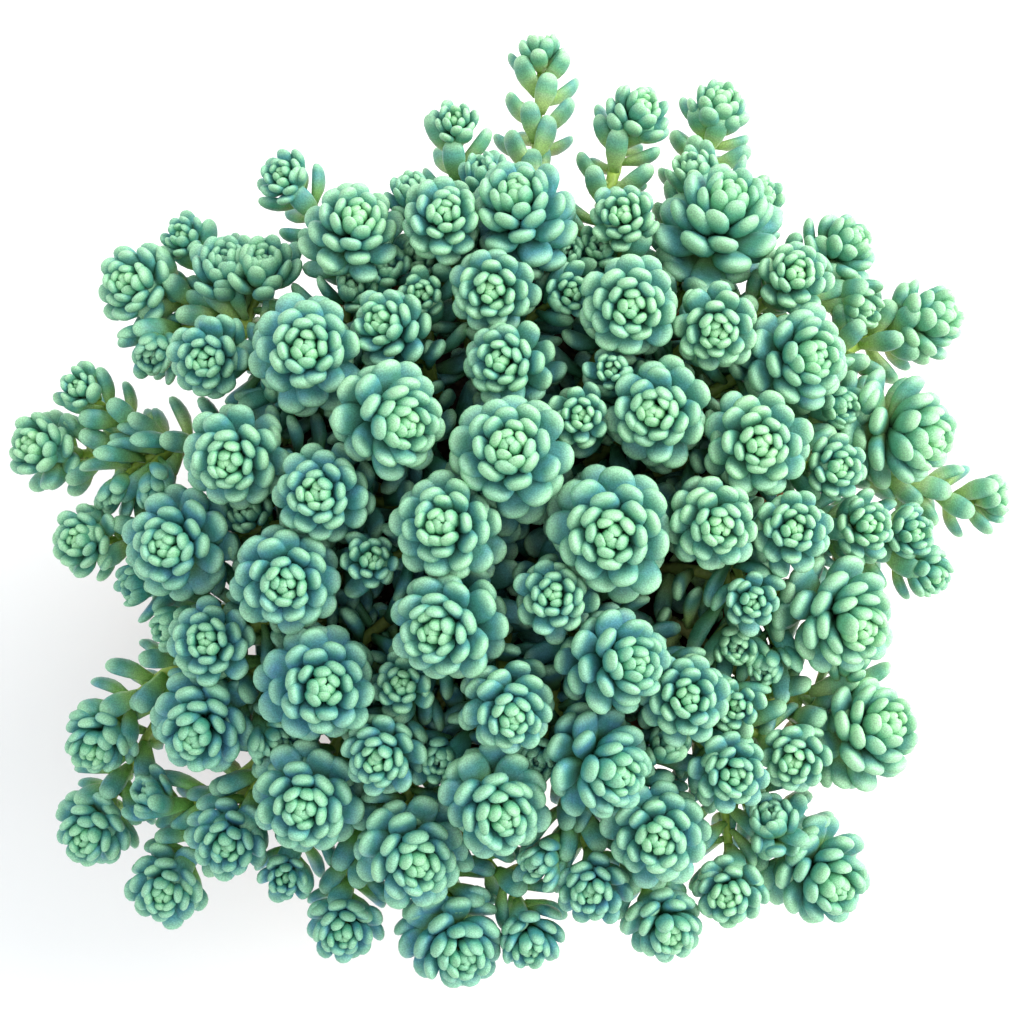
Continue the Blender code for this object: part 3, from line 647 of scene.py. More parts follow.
def frames_at(shoot, depths):
    """At each depth down a shoot: the point, the stem's direction and two sides of it."""
    points, downs = spine_of(shoot)
    along = unit(-np.gradient(points, downs, axis=0))
    at = [np.interp(depths, downs, points[:, i]) for i in range(3)]
    way = unit(np.stack([np.interp(depths, downs, along[:, i]) for i in range(3)], 1))
    flat = np.array([-shoot.middle.y, shoot.middle.x, SIDE_TILT])
    side = unit(flat - way * dot(flat, way))
    return np.stack(at, 1), way, side, np.cross(way, side)


def rule_of(shoot, look):
    """What a head's radius gives its leaves: their number, length and width.

    Length and width grow by a share of the radius over a least size, so a small head has
    fewer leaves for its size. As many are laid as cover the head alike.
    """
    full = min(1, shoot.radius / FULL_RADIUS)
    radius = shoot.radius * (1 + (look.reach - 1) * full**2)
    long = look.long_share * radius + look.long_base
    wide = look.wide_share * radius + look.wide_base
    cover = (COVER * radius / wide) ** 2
    leaves = look.head_leaves * cover * min(1, radius / FULL_RADIUS) ** SMALL_POWER
    stretch = STRETCH + STRETCH_GAIN * (radius / MM - SMALL_RADIUS)
    stretch = min(STRETCH_MOST, max(STRETCH, stretch))
    return Rule(radius, leaves, long, wide, stretch)


def depths_of(shoot, look, rule):
    """Where leaves stand on a shoot, as arrays with one value for each leaf.

    They are its number, its share of the head's leaves, how many come before it below the
    head, how far it has gone over to a stem leaf, and its depth below the bud. In a head of N
    leaves, leaf n stands (n / N) ^ 0.67 of the head's depth below the bud. Below the head each
    step down is longer than the last, up to the stem leaves' spacing.
    """
    numbers = np.arange(MOST_LEAVES)
    order = numbers / rule.leaves
    below = np.clip(numbers - rule.leaves, 0, None)
    easing = np.clip(below / rule.stretch, 0, 1)
    first_step = FIRST_STEP * rule.radius
    last_step = look.stem_step * (STEP_MIDDLE - STEP_LOSS * min(1, outness(shoot)))
    steps = (first_step + (last_step - first_step) * easing) * (below > 0)
    depth = look.head_depth * rule.radius * np.minimum(order, 1) ** DEPTH_POWER + np.cumsum(steps)
    most = spine_of(shoot)[1][-1] * (LEAFY_SIDE if shoot.head.parent else LEAFY_STEM)
    kept = depth < (SPRAY_DEPTH if shoot.spray else max(most, LEAST_DEPTH * rule.radius))
    return [values[kept] for values in (numbers, order, below, easing, depth)]


def leaves_of(shoot, look, draw):
    """A shoot's leaves as arrays, before anything presses on them.

    Leaf n is turned n golden angles from the bud. In a head of N leaves its tip stands
    (n / N) ^ 0.92 of the radius from the axis, which packs the tips evenly, so with their
    depths the tips make a dome. The length rises from the bud's to a grown leaf's by an
    exponential, and the width by a power. Below the head the leaves stand further apart and
    go over to the size of stem leaves.
    """
    rule = rule_of(shoot, look)
    numbers, order, below, easing, depth = depths_of(shoot, look, rule)
    count = len(numbers)
    loose = draw.uniform(-1, 1, (4, count)) * np.clip(order * EASE_IN, 0, 1)
    turn = look.golden_angle * numbers + shoot.index * TURN_BETWEEN + LOOSE_TURN * loose[0]
    root_out = ROOT_OUT * rule.radius * np.clip(EASE_IN * order, 0, 1)
    root_out = np.minimum(root_out, shoot.stem_radius)
    inner = np.minimum(order, 1)
    growth = (1 - np.exp(-GROWTH * inner)) / (1 - math.exp(-GROWTH))
    long = look.bud_length * rule.radius
    long = long + (rule.long - long) * growth
    long = long + (look.stem_length - rule.long) * easing
    long *= (1 + LOOSE_LENGTH * loose[1]) * (SPRAY_LENGTH if shoot.spray else 1)
    bud_wide = BUD_WIDTH * (rule.radius / FULL_RADIUS) ** SMALL_POWER
    wide = bud_wide + (rule.wide - bud_wide) * inner**WIDTH_POWER
    wide = (wide + (look.stem_width - rule.wide) * easing) * (1 + LOOSE_WIDTH * loose[2])
    thick = wide * (look.thickness + BUD_THICKNESS * np.exp(-numbers / BUD_THICK_LEAVES))
    tip_out = rule.radius * inner**TIP_POWER * (SPRAY_REACH if shoot.spray else 1)
    rise = np.arccos(np.clip((tip_out - root_out) / long, *RISE_COSINES))
    steepness = STEEP - STEEP_LOSS * (rule.radius / MM - SMALL_RADIUS)
    last_rise = math.radians(min(STEEP, max(FLAT, steepness)))
    fall = 1 - np.exp(-below / (FADE * rule.stretch))
    rise += (last_rise - rise) * fall * (order > 1) + LOOSE_RISE * loose[3]
    cup = look.cup + BUD_CUP * np.exp(-numbers / BUD_CUP_LEAVES)
    point, way, side, other = frames_at(shoot, depth)
    outward = side * np.cos(turn)[:, None] + other * np.sin(turn)[:, None]
    root = point + outward * root_out[:, None]
    rise = rise[:, None]
    heading = outward * np.cos(rise) + way * np.sin(rise)
    upper = way * np.cos(rise) - outward * np.sin(rise)
    upper = unit(upper + np.cross(heading, upper) * LOOSE_TWIST * loose[0][:, None])
    tip = root + heading * long[:, None]
    age = FULL_AGE * inner + below * min(1, rule.radius / FULL_RADIUS)
    age = np.maximum(age, FULL_AGE + 1) if shoot.spray else age
    # A leaf's share of painted sunlight from its shoot, with a random tone of its own
    tint = SHOOT_PAINTED_SUN * painted_sunlight(shoot, draw) + LEAF_TINT * draw.uniform(0, 1, count)
    lit = np.full(count, np.clip((outness(shoot) - OPEN_FROM) / OPEN_SPAN, 0, 1))
    return Leaves(root, tip, upper, wide, thick, cup, age, tint, lit), way


def outness(shoot):
    """How far out from the cushion's middle a shoot's head is, as a share of the cushion's."""
    return math.hypot(shoot.middle.x, shoot.middle.y) / CROWN_RADIUS


def painted_sunlight(shoot, draw):
    """How much painted sunlight a shoot gets, from 0 to 1. Its leaves are painted brighter, paler
    and yellower with it, as if lit by warm light.

    It is most on the cushion's sunny back and right, and on the long shoots behind the middle
    that stand clear of the cushion.
    """
    right, back = shoot.middle.x / CROWN_RADIUS, shoot.middle.y / CROWN_RADIUS
    painted_sun = SUN + SUN_RIGHT * max(0, right)
    painted_sun += back * (SUN_BACK - SUN_BACK_LOSS * min(1, max(0, right)))
    clear = min(1, max(0, math.hypot(right, back) - CLEAR_FROM) / CLEAR_SPAN)
    painted_sun += SUN_CLEAR * clear * (back > CLEAR_BACK)
    return float(np.clip(painted_sun + draw.uniform(-SUN_DRAW, SUN_DRAW), 0, 1))


def pressed(shoot, leaves, way, near):
    """The same leaves with their tips pressed back and up where they would enter a neighbour.

    Between two heads stands a plane, which divides the line between their middles as their
    radii do. A leaf's half width and half thickness, seen across that plane, stay behind it.
    """
    tip = leaves.tip.copy()
    middle = np.array(shoot.middle)
    long = np.linalg.norm(leaves.tip - leaves.root, axis=1)
    active = (leaves.age < FULL_AGE + PRESSED_PAST)[:, None]
    for _ in range(PRESS_ROUNDS):
        for other in near:
            apart = np.array(other.middle) - middle
            far = np.linalg.norm(apart)
            apart = apart / far
            limit = PRESS_SLACK * far * shoot.radius / (shoot.radius + other.radius)
            heading = unit(tip - leaves.root)
            side = np.cross(heading, leaves.upper)
            body = PRESS_BODY * leaves.width * np.abs(side @ apart)
            body += PRESS_BODY * leaves.thick * np.abs(leaves.upper @ apart)
            over = np.clip((tip - middle) @ apart + body - limit, 0, None)[:, None] * active
            tip += (way * PRESS_RISE - apart) * over
    inset = INSET * leaves.thick[:, None]
    tip = np.clip(tip, FRAME_LOW + inset, FRAME_HIGH - inset)
    shrunk = np.linalg.norm(tip - leaves.root, axis=1) / long
    heading = unit(tip - leaves.root)
    tip = np.where((shrunk > 1)[:, None], leaves.root + heading * long[:, None], tip)
    upper = unit(leaves.upper - heading * dot(leaves.upper, heading))
    narrow = np.clip(shrunk, NARROWEST, 1) ** NARROW_POWER
    return leaves._replace(
        tip=tip, upper=upper, width=leaves.width * narrow, thick=leaves.thick * narrow
    )


def balls_of(leaves):
    """Three balls that fill each leaf, as centres and radii in one list for all the leaves."""
    at = BALLS_AT[None, :, None]
    centres = leaves.root[:, None] * (1 - at) + leaves.tip[:, None] * at
    radius = BALL_SHARE * (leaves.width + leaves.thick)[:, None] * BALL_SIZES
    return centres.reshape(-1, 3), radius.reshape(-1)


def stem_balls(shoot):
    """Balls along a stem, as centres and radii."""
    centres = bezier(shoot.controls, np.linspace(0, 1, STEM_BALLS))
    return centres, np.full(STEM_BALLS, shoot.stem_radius)


def in_pot(points, margin):
    """Whether points lie in the pot's wall or in the soil, or nearer to them than a margin."""
    out, height = np.hypot(points[:, 0], points[:, 1]), points[:, 2]
    in_wall = (out > RIM_RADIUS - WALL - margin) & (out < RIM_RADIUS + margin)
    in_wall &= height < POT_HEIGHT + margin
    in_soil = (out < RIM_RADIUS - WALL) & (height < soil_height(out) + margin)
    return in_wall | in_soil


def span_with_room(root, span, way, size, crowd):
    """A leaf's span, bent up or down the stem or shortened until it has room, and its share."""
    centres, radii = crowd
    for reach in REACHES:
        for lift in LIFTS:
            long = np.linalg.norm(span)
            trial = unit(span + way * long * lift) * long * reach
            points = root + trial * BALLS_AT[:, None]
            ball = size * reach * BALL_SIZES
            gaps = np.linalg.norm(points[:, None] - centres[None], axis=2)
            gaps -= (ball[:, None] + radii[None]) * CLEAR_SHARE
            sunk = in_pot(points, POT_CLEAR_SHARE * ball.min()).any()
            if (not gaps.size or gaps.min() > 0) and not sunk:
                return trial, reach
    return None, 0


def with_room(leaves, way, crowd):
    """The leaves below a head, each bent or shortened until it has room, or left out."""
    centres, radii = crowd
    keep = np.ones(len(leaves.root), bool)
    tips, widths = leaves.tip.copy(), leaves.width.copy()
    for leaf in np.nonzero(leaves.age > ROOM_FROM * FULL_AGE)[0]:
        root, span = leaves.root[leaf], leaves.tip[leaf] - leaves.root[leaf]
        close = np.linalg.norm(centres - root, axis=1) < NEAR_LEAVES
        size = BALL_SHARE * (leaves.width[leaf] + leaves.thick[leaf])
        near = centres[close], radii[close]
        trial, reach = span_with_room(root, span, way[leaf], size, near)
        if trial is None:
            keep[leaf] = leaves.age[leaf] < FULL_AGE
        else:
            tips[leaf] = root + trial
            widths[leaf] *= reach**0.5
    heading = unit(tips - leaves.root)
    upper = unit(leaves.upper - heading * dot(leaves.upper, heading))
    thick = leaves.thick * widths / leaves.width
    fitted = leaves._replace(tip=tips, upper=upper, width=widths, thick=thick)
    return chosen(fitted, keep)


def chosen(leaves, keep):
    """The leaves that a mask keeps."""
    return Leaves(*[values[keep] for values in leaves])


def leaf_points(leaves, rings, sides):
    """The grid of points of each leaf, and each point's share along it and round it.

    Along a leaf s goes from 0 to 1 as a sine, so rings crowd at the tip. The half width is
    a foot that swells to full by a smooth step, times the square root of 1 - s^8, which
    rounds the tip. Round it the section is a superellipse, flatter above than below. The middle
    line bows away from the upper side by a half sine.
    """
    s = np.sin(np.linspace(0, 1, rings, endpoint=False) * np.pi / 2)
    swell = np.clip(s / FULL_BY, 0, 1)
    swell = FOOT_WIDTH + (1 - FOOT_WIDTH) * swell * swell * (3 - 2 * swell)
    profile = swell * np.sqrt(1 - s**TIP_ROUND)
    turn = np.arange(sides) / sides * math.tau
    span = leaves.tip - leaves.root
    long = np.linalg.norm(span, axis=1)
    side = np.cross(unit(span), leaves.upper)
    line = leaves.root[:, None] + span[:, None] * s[None, :, None]
    bow = (-leaves.cup * long)[:, None] * np.sin(np.pi * s)
    line += leaves.upper[:, None] * bow[:, :, None]
    across = 0.5 * np.sign(np.cos(turn)) * np.abs(np.cos(turn)) ** SECTION_POWER
    above = np.sign(np.sin(turn)) * np.abs(np.sin(turn)) ** SECTION_POWER
    above *= np.where(above > 0, SECTION_ABOVE, SECTION_BELOW)
    wide = leaves.width[:, None, None] * profile[None, :, None] * across
    deep = leaves.thick[:, None, None] * profile[None, :, None] * above
    grid = line[:, :, None] + side[:, None, None] * wide[..., None]
    grid = grid + leaves.upper[:, None, None] * deep[..., None]
    count = len(leaves.root)
    middle = grid.reshape(count, -1, 3)
    points = np.concatenate([leaves.root[:, None], middle, leaves.tip[:, None]], 1)
    along = np.concatenate([[0], np.repeat(s, sides), [1]])
    face = np.concatenate([[0], np.tile(np.sin(turn), rings), [0]])
    return points, np.tile(along, (count, 1)), np.tile(face, (count, 1))


def ring_faces(rings, sides, closed):
    """Triangles between rings of points; a closed band joins the last ring to the first."""
    step = np.arange(sides)
    after = (step + 1) % sides
    low = np.arange(rings if closed else rings - 1)[:, None] * sides
    high = (low + sides) % (rings * sides)
    first = np.stack([low + step, low + after, high + after], -1).reshape(-1, 3)
    second = np.stack([low + step, high + after, high + step], -1).reshape(-1, 3)
    return np.concatenate([first, second])


def tube_faces(rings, sides):
    """Triangles of a closed tube: a first pole, rings of sides, and a last pole."""
    step = np.arange(sides)
    after = (step + 1) % sides
    last = 1 + (rings - 1) * sides
    foot = np.stack([np.zeros(sides, int), 1 + after, 1 + step], -1)
    tip = np.stack([last + step, last + after, np.full(sides, last + sides)], -1)
    return np.concatenate([foot, 1 + ring_faces(rings, sides, False), tip])


def stem_points(shoot):
    """A round stem along its curve, with a rounded top in the head and a foot in the soil.

    Its radius swells a little at each leaf, as a sine of the distance down it.
    """
    downs = spine_of(shoot)[1]
    count, sides = STEM_GRID
    depth = np.linspace(0, downs[-1], count)
    centre, way, side, other = frames_at(shoot, depth)
    radius = shoot.stem_radius * (STEM_THIN + STEM_SWELL * np.sin(depth / STEM_WAVE))
    radius *= np.clip(STEM_START + depth / (STEM_FULL_BY * shoot.radius), 0, 1)
    turn = np.arange(sides) / sides * math.tau
    ring = side[:, None] * np.cos(turn)[:, None] + other[:, None] * np.sin(turn)[:, None]
    grid = centre[:, None] + ring * radius[:, None, None]
    foot = centre[-1] - way[-1] * HOLE_DEPTH * (0 if shoot.head.parent else 1)
    tip = centre[:1] + way[:1] * radius[0]
    points = np.concatenate([tip, grid.reshape(-1, 3), foot[None]])
    faces = tube_faces(count, sides)[:, ::-1]
    down = np.concatenate([[0], np.repeat(depth, sides), [depth[-1]]])
    return points, faces, down / FULL_STEM


def mesh_object(name, points, faces, attributes, materials, indices=None):
    """A smooth mesh piece from arrays of points, triangles and point attributes."""
    mesh = bpy.data.meshes.new(name)
    mesh.vertices.add(len(points))
    mesh.vertices.foreach_set("co", points.astype(np.float32).ravel())
    mesh.loops.add(faces.size)
    mesh.loops.foreach_set("vertex_index", faces.astype(np.int32).ravel())
    mesh.polygons.add(len(faces))
    mesh.polygons.foreach_set("loop_start", np.arange(len(faces), dtype=np.int32) * 3)
    mesh.update(calc_edges=True)
    mesh.polygons.foreach_set("use_smooth", np.ones(len(faces), bool))
    for material in materials:
        mesh.materials.append(material)
    if indices is not None:
        mesh.polygons.foreach_set("material_index", indices.astype(np.int32))
    for key, values in attributes.items():
        layer = mesh.attributes.new(key, "FLOAT", "POINT")
        layer.data.foreach_set("value", values.astype(np.float32).ravel())
    mesh.validate()
    made = bpy.data.objects.new(name, mesh)
    bpy.context.scene.collection.objects.link(made)
    return made


def shoots_of():
    """All the shoots by name, with their stems' curves."""
    shoots = {head.name: Shoot(head, index) for index, head in enumerate(HEADS + SPRAYS)}
    for shoot in sorted(shoots.values(), key=lambda one: one.head.parent != ""):
        shoot.lay_path(shoots)
    return shoots


def grown_leaves(look):
    """Every shoot's leaves, pressed apart head by head and then fitted stem by stem."""
    shoots = shoots_of()
    grown = {}
    for name, shoot in shoots.items():
        draw = np.random.default_rng(FIRST_SEED + shoot.index)
        leaves, way = leaves_of(shoot, look, draw)
        near = [
            other
            for other in shoots.values()
            if other is not shoot
            and not other.spray
            and (other.middle - shoot.middle).length < NEAR_HEADS
        ]
        grown[name] = pressed(shoot, leaves, way, near), way
    crowds = {
        name: balls_of(chosen(leaves, leaves.age < FULL_AGE + CROWD_PAST))
        for name, (leaves, way) in grown.items()
    }
    stems = {name: stem_balls(shoot) for name, shoot in shoots.items()}
    fitted = {}
    for name, (leaves, way) in grown.items():
        others = [crowds[other] for other in shoots if other != name]
        others += [stems[other] for other in shoots if other != name]
        crowd = tuple(np.concatenate(arrays) for arrays in zip(*others))
        fitted[name] = with_room(leaves, way, crowd)
        crowds[name] = balls_of(fitted[name])
    return shoots, fitted


def shoot_parts(shoot, leaves):
    """A shoot's meshes: its upper leaves, its lower leaves in fewer faces, and its stem.

    Each is its points, its faces, its point values and its material's number.
    """
    upper = leaves.age < FULL_AGE + FINE_PAST
    for some, (rings, sides) in ((upper, NEAR_GRID), (~upper, FAR_GRID)):
        part = chosen(leaves, some)
        if not len(part.root):
            continue
        grid, along, face = leaf_points(part, rings, sides)
        count, each = along.shape
        faces = tube_faces(rings, sides)[None] + np.arange(count)[:, None, None] * each
        values = [along, face]
        values += [np.repeat(value, each) for value in (part.age, part.tint, part.open)]
        yield grid.reshape(-1, 3), faces.reshape(-1, 3), values, 0
    points, faces, down = stem_points(shoot)
    plain = np.zeros(len(points))
    lit = plain + (leaves.open[0] if len(leaves.open) else 0)
    yield points, faces, [down, plain, plain, plain, lit], 1


def add_stems(look, leaf_finish, stem_finish):
    """One piece for each leafy stem: its own and its side shoots' stems and leaves."""
    shoots, fitted = grown_leaves(look)
    families = {}
    for shoot in shoots.values():
        families.setdefault(shoot.head.parent or shoot.name, []).append(shoot)
    for name, members in families.items():
        parts = [part for shoot in members for part in shoot_parts(shoot, fitted[shoot.name])]
        starts = np.cumsum([0] + [len(points) for points, *_ in parts])
        faces = np.concatenate([part[1] + start for part, start in zip(parts, starts)])
        values = [
            np.concatenate([part[2][i].ravel() for part in parts])
            for i in range(len(POINT_VALUES))
        ]
        piece = mesh_object(
            "leafy_" + name,
            np.concatenate([part[0] for part in parts]),
            faces,
            dict(zip(POINT_VALUES, values)),
            (leaf_finish, stem_finish),
            np.concatenate([np.full(len(part[1]), part[3]) for part in parts]),
        )
        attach(piece, "root")
        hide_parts("stem_" + name)


def give(tree, made, inputs):
    """Gives a node's inputs, by key in a dict or else in their order, a link or a value each."""
    for socket, value in inputs.items() if isinstance(inputs, dict) else enumerate(inputs):
        if isinstance(value, bpy.types.NodeSocket):
            tree.links.new(value, made.inputs[socket])
        else:
            made.inputs[socket].default_value = value


def add_node(tree, kind, inputs, output=0, **settings):
    """Adds a node with its settings and links, and returns one of its outputs.

    A Map Range takes its value, the range it comes from and the range it goes to.
    """
    made = tree.nodes.new("ShaderNode" + kind)
    for key, value in settings.items():
        setattr(made, key, value)
    give(tree, made, inputs)
    return made.outputs[output]


def finish(build):
    """Turns build(node, colours), which gives a Principled shader's inputs, into a material.

    The builder adds its nodes with node(kind, inputs), and the material takes its name.
    """

    def made_of(colours):
        made = bpy.data.materials.new(build.__name__)
        made.use_nodes = True
        tree = made.node_tree
        inputs = build(partial(add_node, tree), colours)
        give(tree, tree.nodes["Principled BSDF"], inputs)
        return made

    return made_of


@finish
def waxy_leaf(node, colours):
    """Stonecrop leaf under its own wax: a plump green leaf with a thin powdery bloom.

    The bloom scatters light, so the leaf looks matt, bluish on its flanks and faintly grained.
    It rubs off at the tip and rim, which look pale yellow-green, partly a painted highlight where
    the tips catch the light, and it is thin at the foot. Leaf bases deep in a rosette are painted
    dark as shade in the creases, and shoots are painted brighter and yellower as painted sunlight.
    """
    place = node("TexCoord", {}, "Object")
    along, face, age, tint, lit = (
        node("Attribute", {}, "Fac", attribute_name=name) for name in POINT_VALUES
    )
    smooth = {"interpolation_type": "SMOOTHSTEP"}
    # From the bud's bright green to the rosette's, and on to the older leaves'
    grown = node("MapRange", (age, 2, 20), **smooth)
    older = node("MapRange", (age, 30, 55), **smooth)
    # Bloom in soft patches a few millimetres wide, most on the upper side of grown leaves. It is
    # painted heavier on the shoots with little painted sunlight, as bluish painted shade, and
    # lighter on the shoots painted sunlit
    cloud = node("TexNoise", {"Vector": place, "Scale": 0.4 / MM, "Detail": 2}, "Fac")
    bloom = node("MapRange", (cloud, 0.35, 0.65, 0.4, 0.8), **smooth)
    for ranges in ((age, 3, 16, 0.25, 1), (face, -0.6, 0.6, 0.5, 1), (tint, 0, 1, 1.35, 0.3)):
        bloom = node("Math", (bloom, node("MapRange", ranges)), operation="MULTIPLY")
    # Leaf bases: their own bright yellow-green on the stems at the cushion's edge, and painted
    # shade deep in a rosette and in the cushion's middle, a dark green for the creases between
    # leaves
    stemward = node("MapRange", (age, 24, 37), **smooth)
    stemward = node("Math", (stemward, lit), operation="MULTIPLY")
    layer = {MIX_AMOUNT: stemward, MIX_UNDER: colours.painted_crease_shade, MIX_OVER: colours.foot}
    foot_tone_and_shade = node("Mix", layer, MIXED, data_type="RGBA")
    # Each leaf takes that colour towards its base, so the creases between leaves get painted shade
    foot_and_shade_mask = node("MapRange", (along, 0.75, 0.22, 0, 0.88), **smooth)
    # Pale towards the tip: bloom rubbed off, and a painted highlight where the tips catch the
    # light
    worn_and_highlit = node("MapRange", (along, 0.72, 1, 0, 0.75), **smooth)
    tone = colours.young
    for amount, over in (
        (grown, colours.grown),
        (older, colours.old),
        (bloom, colours.bloom),
        (foot_and_shade_mask, foot_tone_and_shade),
        (worn_and_highlit, colours.edge),
    ):
        layer = {MIX_AMOUNT: amount, MIX_UNDER: tone, MIX_OVER: over}
        tone = node("Mix", layer, MIXED, data_type="RGBA")
    # The grain of the wax, about a quarter of a millimetre
    grain = node("TexNoise", {"Vector": place, "Scale": 4.5 / MM, "Detail": 0}, "Fac")
    # Painted sunlight: leaves are painted brighter, paler and yellower with their shoot's share,
    # standing in for warm light from the right and the back
    painted_sun = node("MapRange", (tint, 0, 1, 0.82, 1.30))
    light = node("MapRange", (grain, 0.3, 0.7, 0.84, 1.18))
    light = node("Math", (light, painted_sun), operation="MULTIPLY")
    shift = node("MapRange", (tint, 0, 1, 0.52, 0.46))
    pale = node("MapRange", (tint, 0, 1, 1.08, 0.80))
    inputs = {"Color": tone, "Value": light, "Hue": shift, "Saturation": pale}
    tone = node("HueSaturation", inputs)
    relief = node("Bump", {"Height": grain, "Distance": 0.06 * MM, "Strength": 0.7})
    return {"Base Color": tone, "Normal": relief, "Roughness": 0.5}


@finish
def green_stem(node, colours):
    """A stonecrop's stem: juicy yellow-green skin, fading to dull cork further down."""
    place = node("TexCoord", {}, "Object")
    down, lit = (node("Attribute", {}, "Fac", attribute_name=name) for name in ("along", "open"))
    old = node("MapRange", (down, 0.6, 1.7))
    layer = {MIX_AMOUNT: old, MIX_UNDER: colours.stem, MIX_OVER: colours.cork}
    skin = node("Mix", layer, MIXED, data_type="RGBA")
    grain = node("TexNoise", {"Vector": place, "Scale": 1.2 / MM, "Detail": 3}, "Fac")
    light = node("MapRange", (grain, 0.3, 0.7, 0.75, 1.2))
    # Darker in the middle of the cushion, where little light comes down
    light = node("Math", (light, node("MapRange", (lit, 0, 1, 0.4, 1))), operation="MULTIPLY")
    tone = node("HueSaturation", {"Color": skin, "Value": light})
    relief = node("Bump", {"Height": grain, "Distance": 0.1 * MM, "Strength": 0.5})
    return {"Base Color": tone, "Normal": relief, "Roughness": 0.55}


@finish
def fired_clay(node, colours):
    """Unglazed earthenware, thrown and fired: matt, patchy from the kiln.

    Salts from the water come through the wall as pale clouds, and the throwing leaves fine
    rings. Sandy grit shows as dark specks.
    """
    place = node("TexCoord", {}, "Object")
    dark = linear("#8F4A2C")
    tone = colours.clay
    # Kiln patches and clouds of salt, centimetres wide, then grit under a millimetre
    for scale, low, high, most, over in (
        (0.05, 0.35, 0.70, 0.45, dark),
        (0.09, 0.48, 0.85, 0.50, colours.salt),
        (1.40, 0.55, 0.72, 0.40, dark),
    ):
        noise = node("TexNoise", {"Vector": place, "Scale": scale / MM, "Detail": 5}, "Fac")
        amount = node("MapRange", (noise, low, high, 0, most))
        layer = {MIX_AMOUNT: amount, MIX_UNDER: tone, MIX_OVER: over}
        tone = node("Mix", layer, MIXED, data_type="RGBA")
    rings = {"Vector": place, "Scale": 0.18 / MM, "Distortion": 1.5, "Detail": 2}
    rings = node("TexWave", rings, "Fac", bands_direction="Z")
    thrown = node("Bump", {"Height": rings, "Distance": 0.15 * MM, "Strength": 0.35})
    gritty = {"Height": noise, "Distance": 0.12 * MM, "Strength": 0.5, "Normal": thrown}
    return {"Base Color": tone, "Normal": node("Bump", gritty), "Roughness": 0.88}


@finish
def damp_soil(node, colours):
    """Damp peat with bark and grit: nearly black crumbs with brown shreds and pale grains."""
    place = node("TexCoord", {}, "Object")
    crumbs = node("TexNoise", {"Vector": place, "Scale": 0.45 / MM, "Detail": 6}, "Fac")
    cells = node("TexVoronoi", {"Vector": place, "Scale": 0.5 / MM}, "Distance")
    tone = colours.soil
    for ranges, over in (
        ((crumbs, 0.35, 0.7), "#54402E"),
        ((cells, 0.16, 0.10, 0, 0.8), "#A99B85"),
    ):
        layer = {MIX_AMOUNT: node("MapRange", ranges), MIX_UNDER: tone, MIX_OVER: linear(over)}
        tone = node("Mix", layer, MIXED, data_type="RGBA")
    relief = node("Bump", {"Height": crumbs, "Distance": 0.6 * MM, "Strength": 0.8})
    return {"Base Color": tone, "Normal": relief, "Roughness": 0.95}


@finish
def flat_white_paint(node, colours):
    """Matt white paint, rolled on: a plain floor with no gloss."""
    return {"Base Color": colours.floor, "Roughness": 0.9}


def smooth_noise(points, size, seed, count=24):
    """A sum of sine waves of about one wavelength in random directions, from -1 to 1."""
    draw = np.random.default_rng(seed)
    ways = unit(draw.normal(size=(count, 3))) * (math.tau / size)
    ways *= draw.uniform(0.6, 1.6, (count, 1))
    phases = draw.uniform(0, math.tau, count)
    return np.sin(points @ ways.T + phases).sum(1) / math.sqrt(2 * count)


def revolved(profile, sides):
    """Points of a profile of (radius, height) pairs turned about the Z axis."""
    turn = np.arange(sides) / sides * math.tau
    radius, height = np.array(profile).T
    grid = [
        radius[:, None] * np.cos(turn),
        radius[:, None] * np.sin(turn),
        np.repeat(height[:, None], sides, 1),
    ]
    return np.stack(grid, -1).reshape(-1, 3)


def rounded(corners, radius, steps=5):
    """A closed profile with each corner cut by a quadratic curve of about that radius."""
    points = np.array(corners)
    before = unit(np.roll(points, 1, 0) - points)
    after = unit(np.roll(points, -1, 0) - points)
    room = CORNER_ROOM * np.linalg.norm(np.roll(points, -1, 0) - points, axis=1)
    cut = np.minimum(radius, np.minimum(room, np.roll(room, 1)))[:, None]
    start, end = points + before * cut, points + after * cut
    at = np.linspace(0, 1, steps)[None, :, None]
    curve = start[:, None] * (1 - at) ** 2 + points[:, None] * 2 * at * (1 - at)
    return (curve + end[:, None] * at**2).reshape(-1, 2)


def add_pot(colours):
    """The clay pot, turned from a rounded profile."""
    band_foot = POT_HEIGHT - BAND_HEIGHT
    corners = [
        (DRAIN_RADIUS, DRAIN_LIFT),
        (BASE_RADIUS, 0),
        (wall_radius(band_foot), band_foot),
        (RIM_RADIUS, band_foot + BAND_SLOPE),
        (RIM_RADIUS, POT_HEIGHT),
        (RIM_RADIUS - WALL, POT_HEIGHT),
        (wall_radius(WALL) - WALL, WALL),
        (DRAIN_RADIUS, WALL),
    ]
    profile = rounded(corners, ROUNDING)
    points = revolved(profile, POT_SIDES)
    faces = ring_faces(len(profile), POT_SIDES, True)
    piece = mesh_object("clay_pot", points, faces, {}, (fired_clay(colours),))
    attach(piece, "root")
    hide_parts("pot")


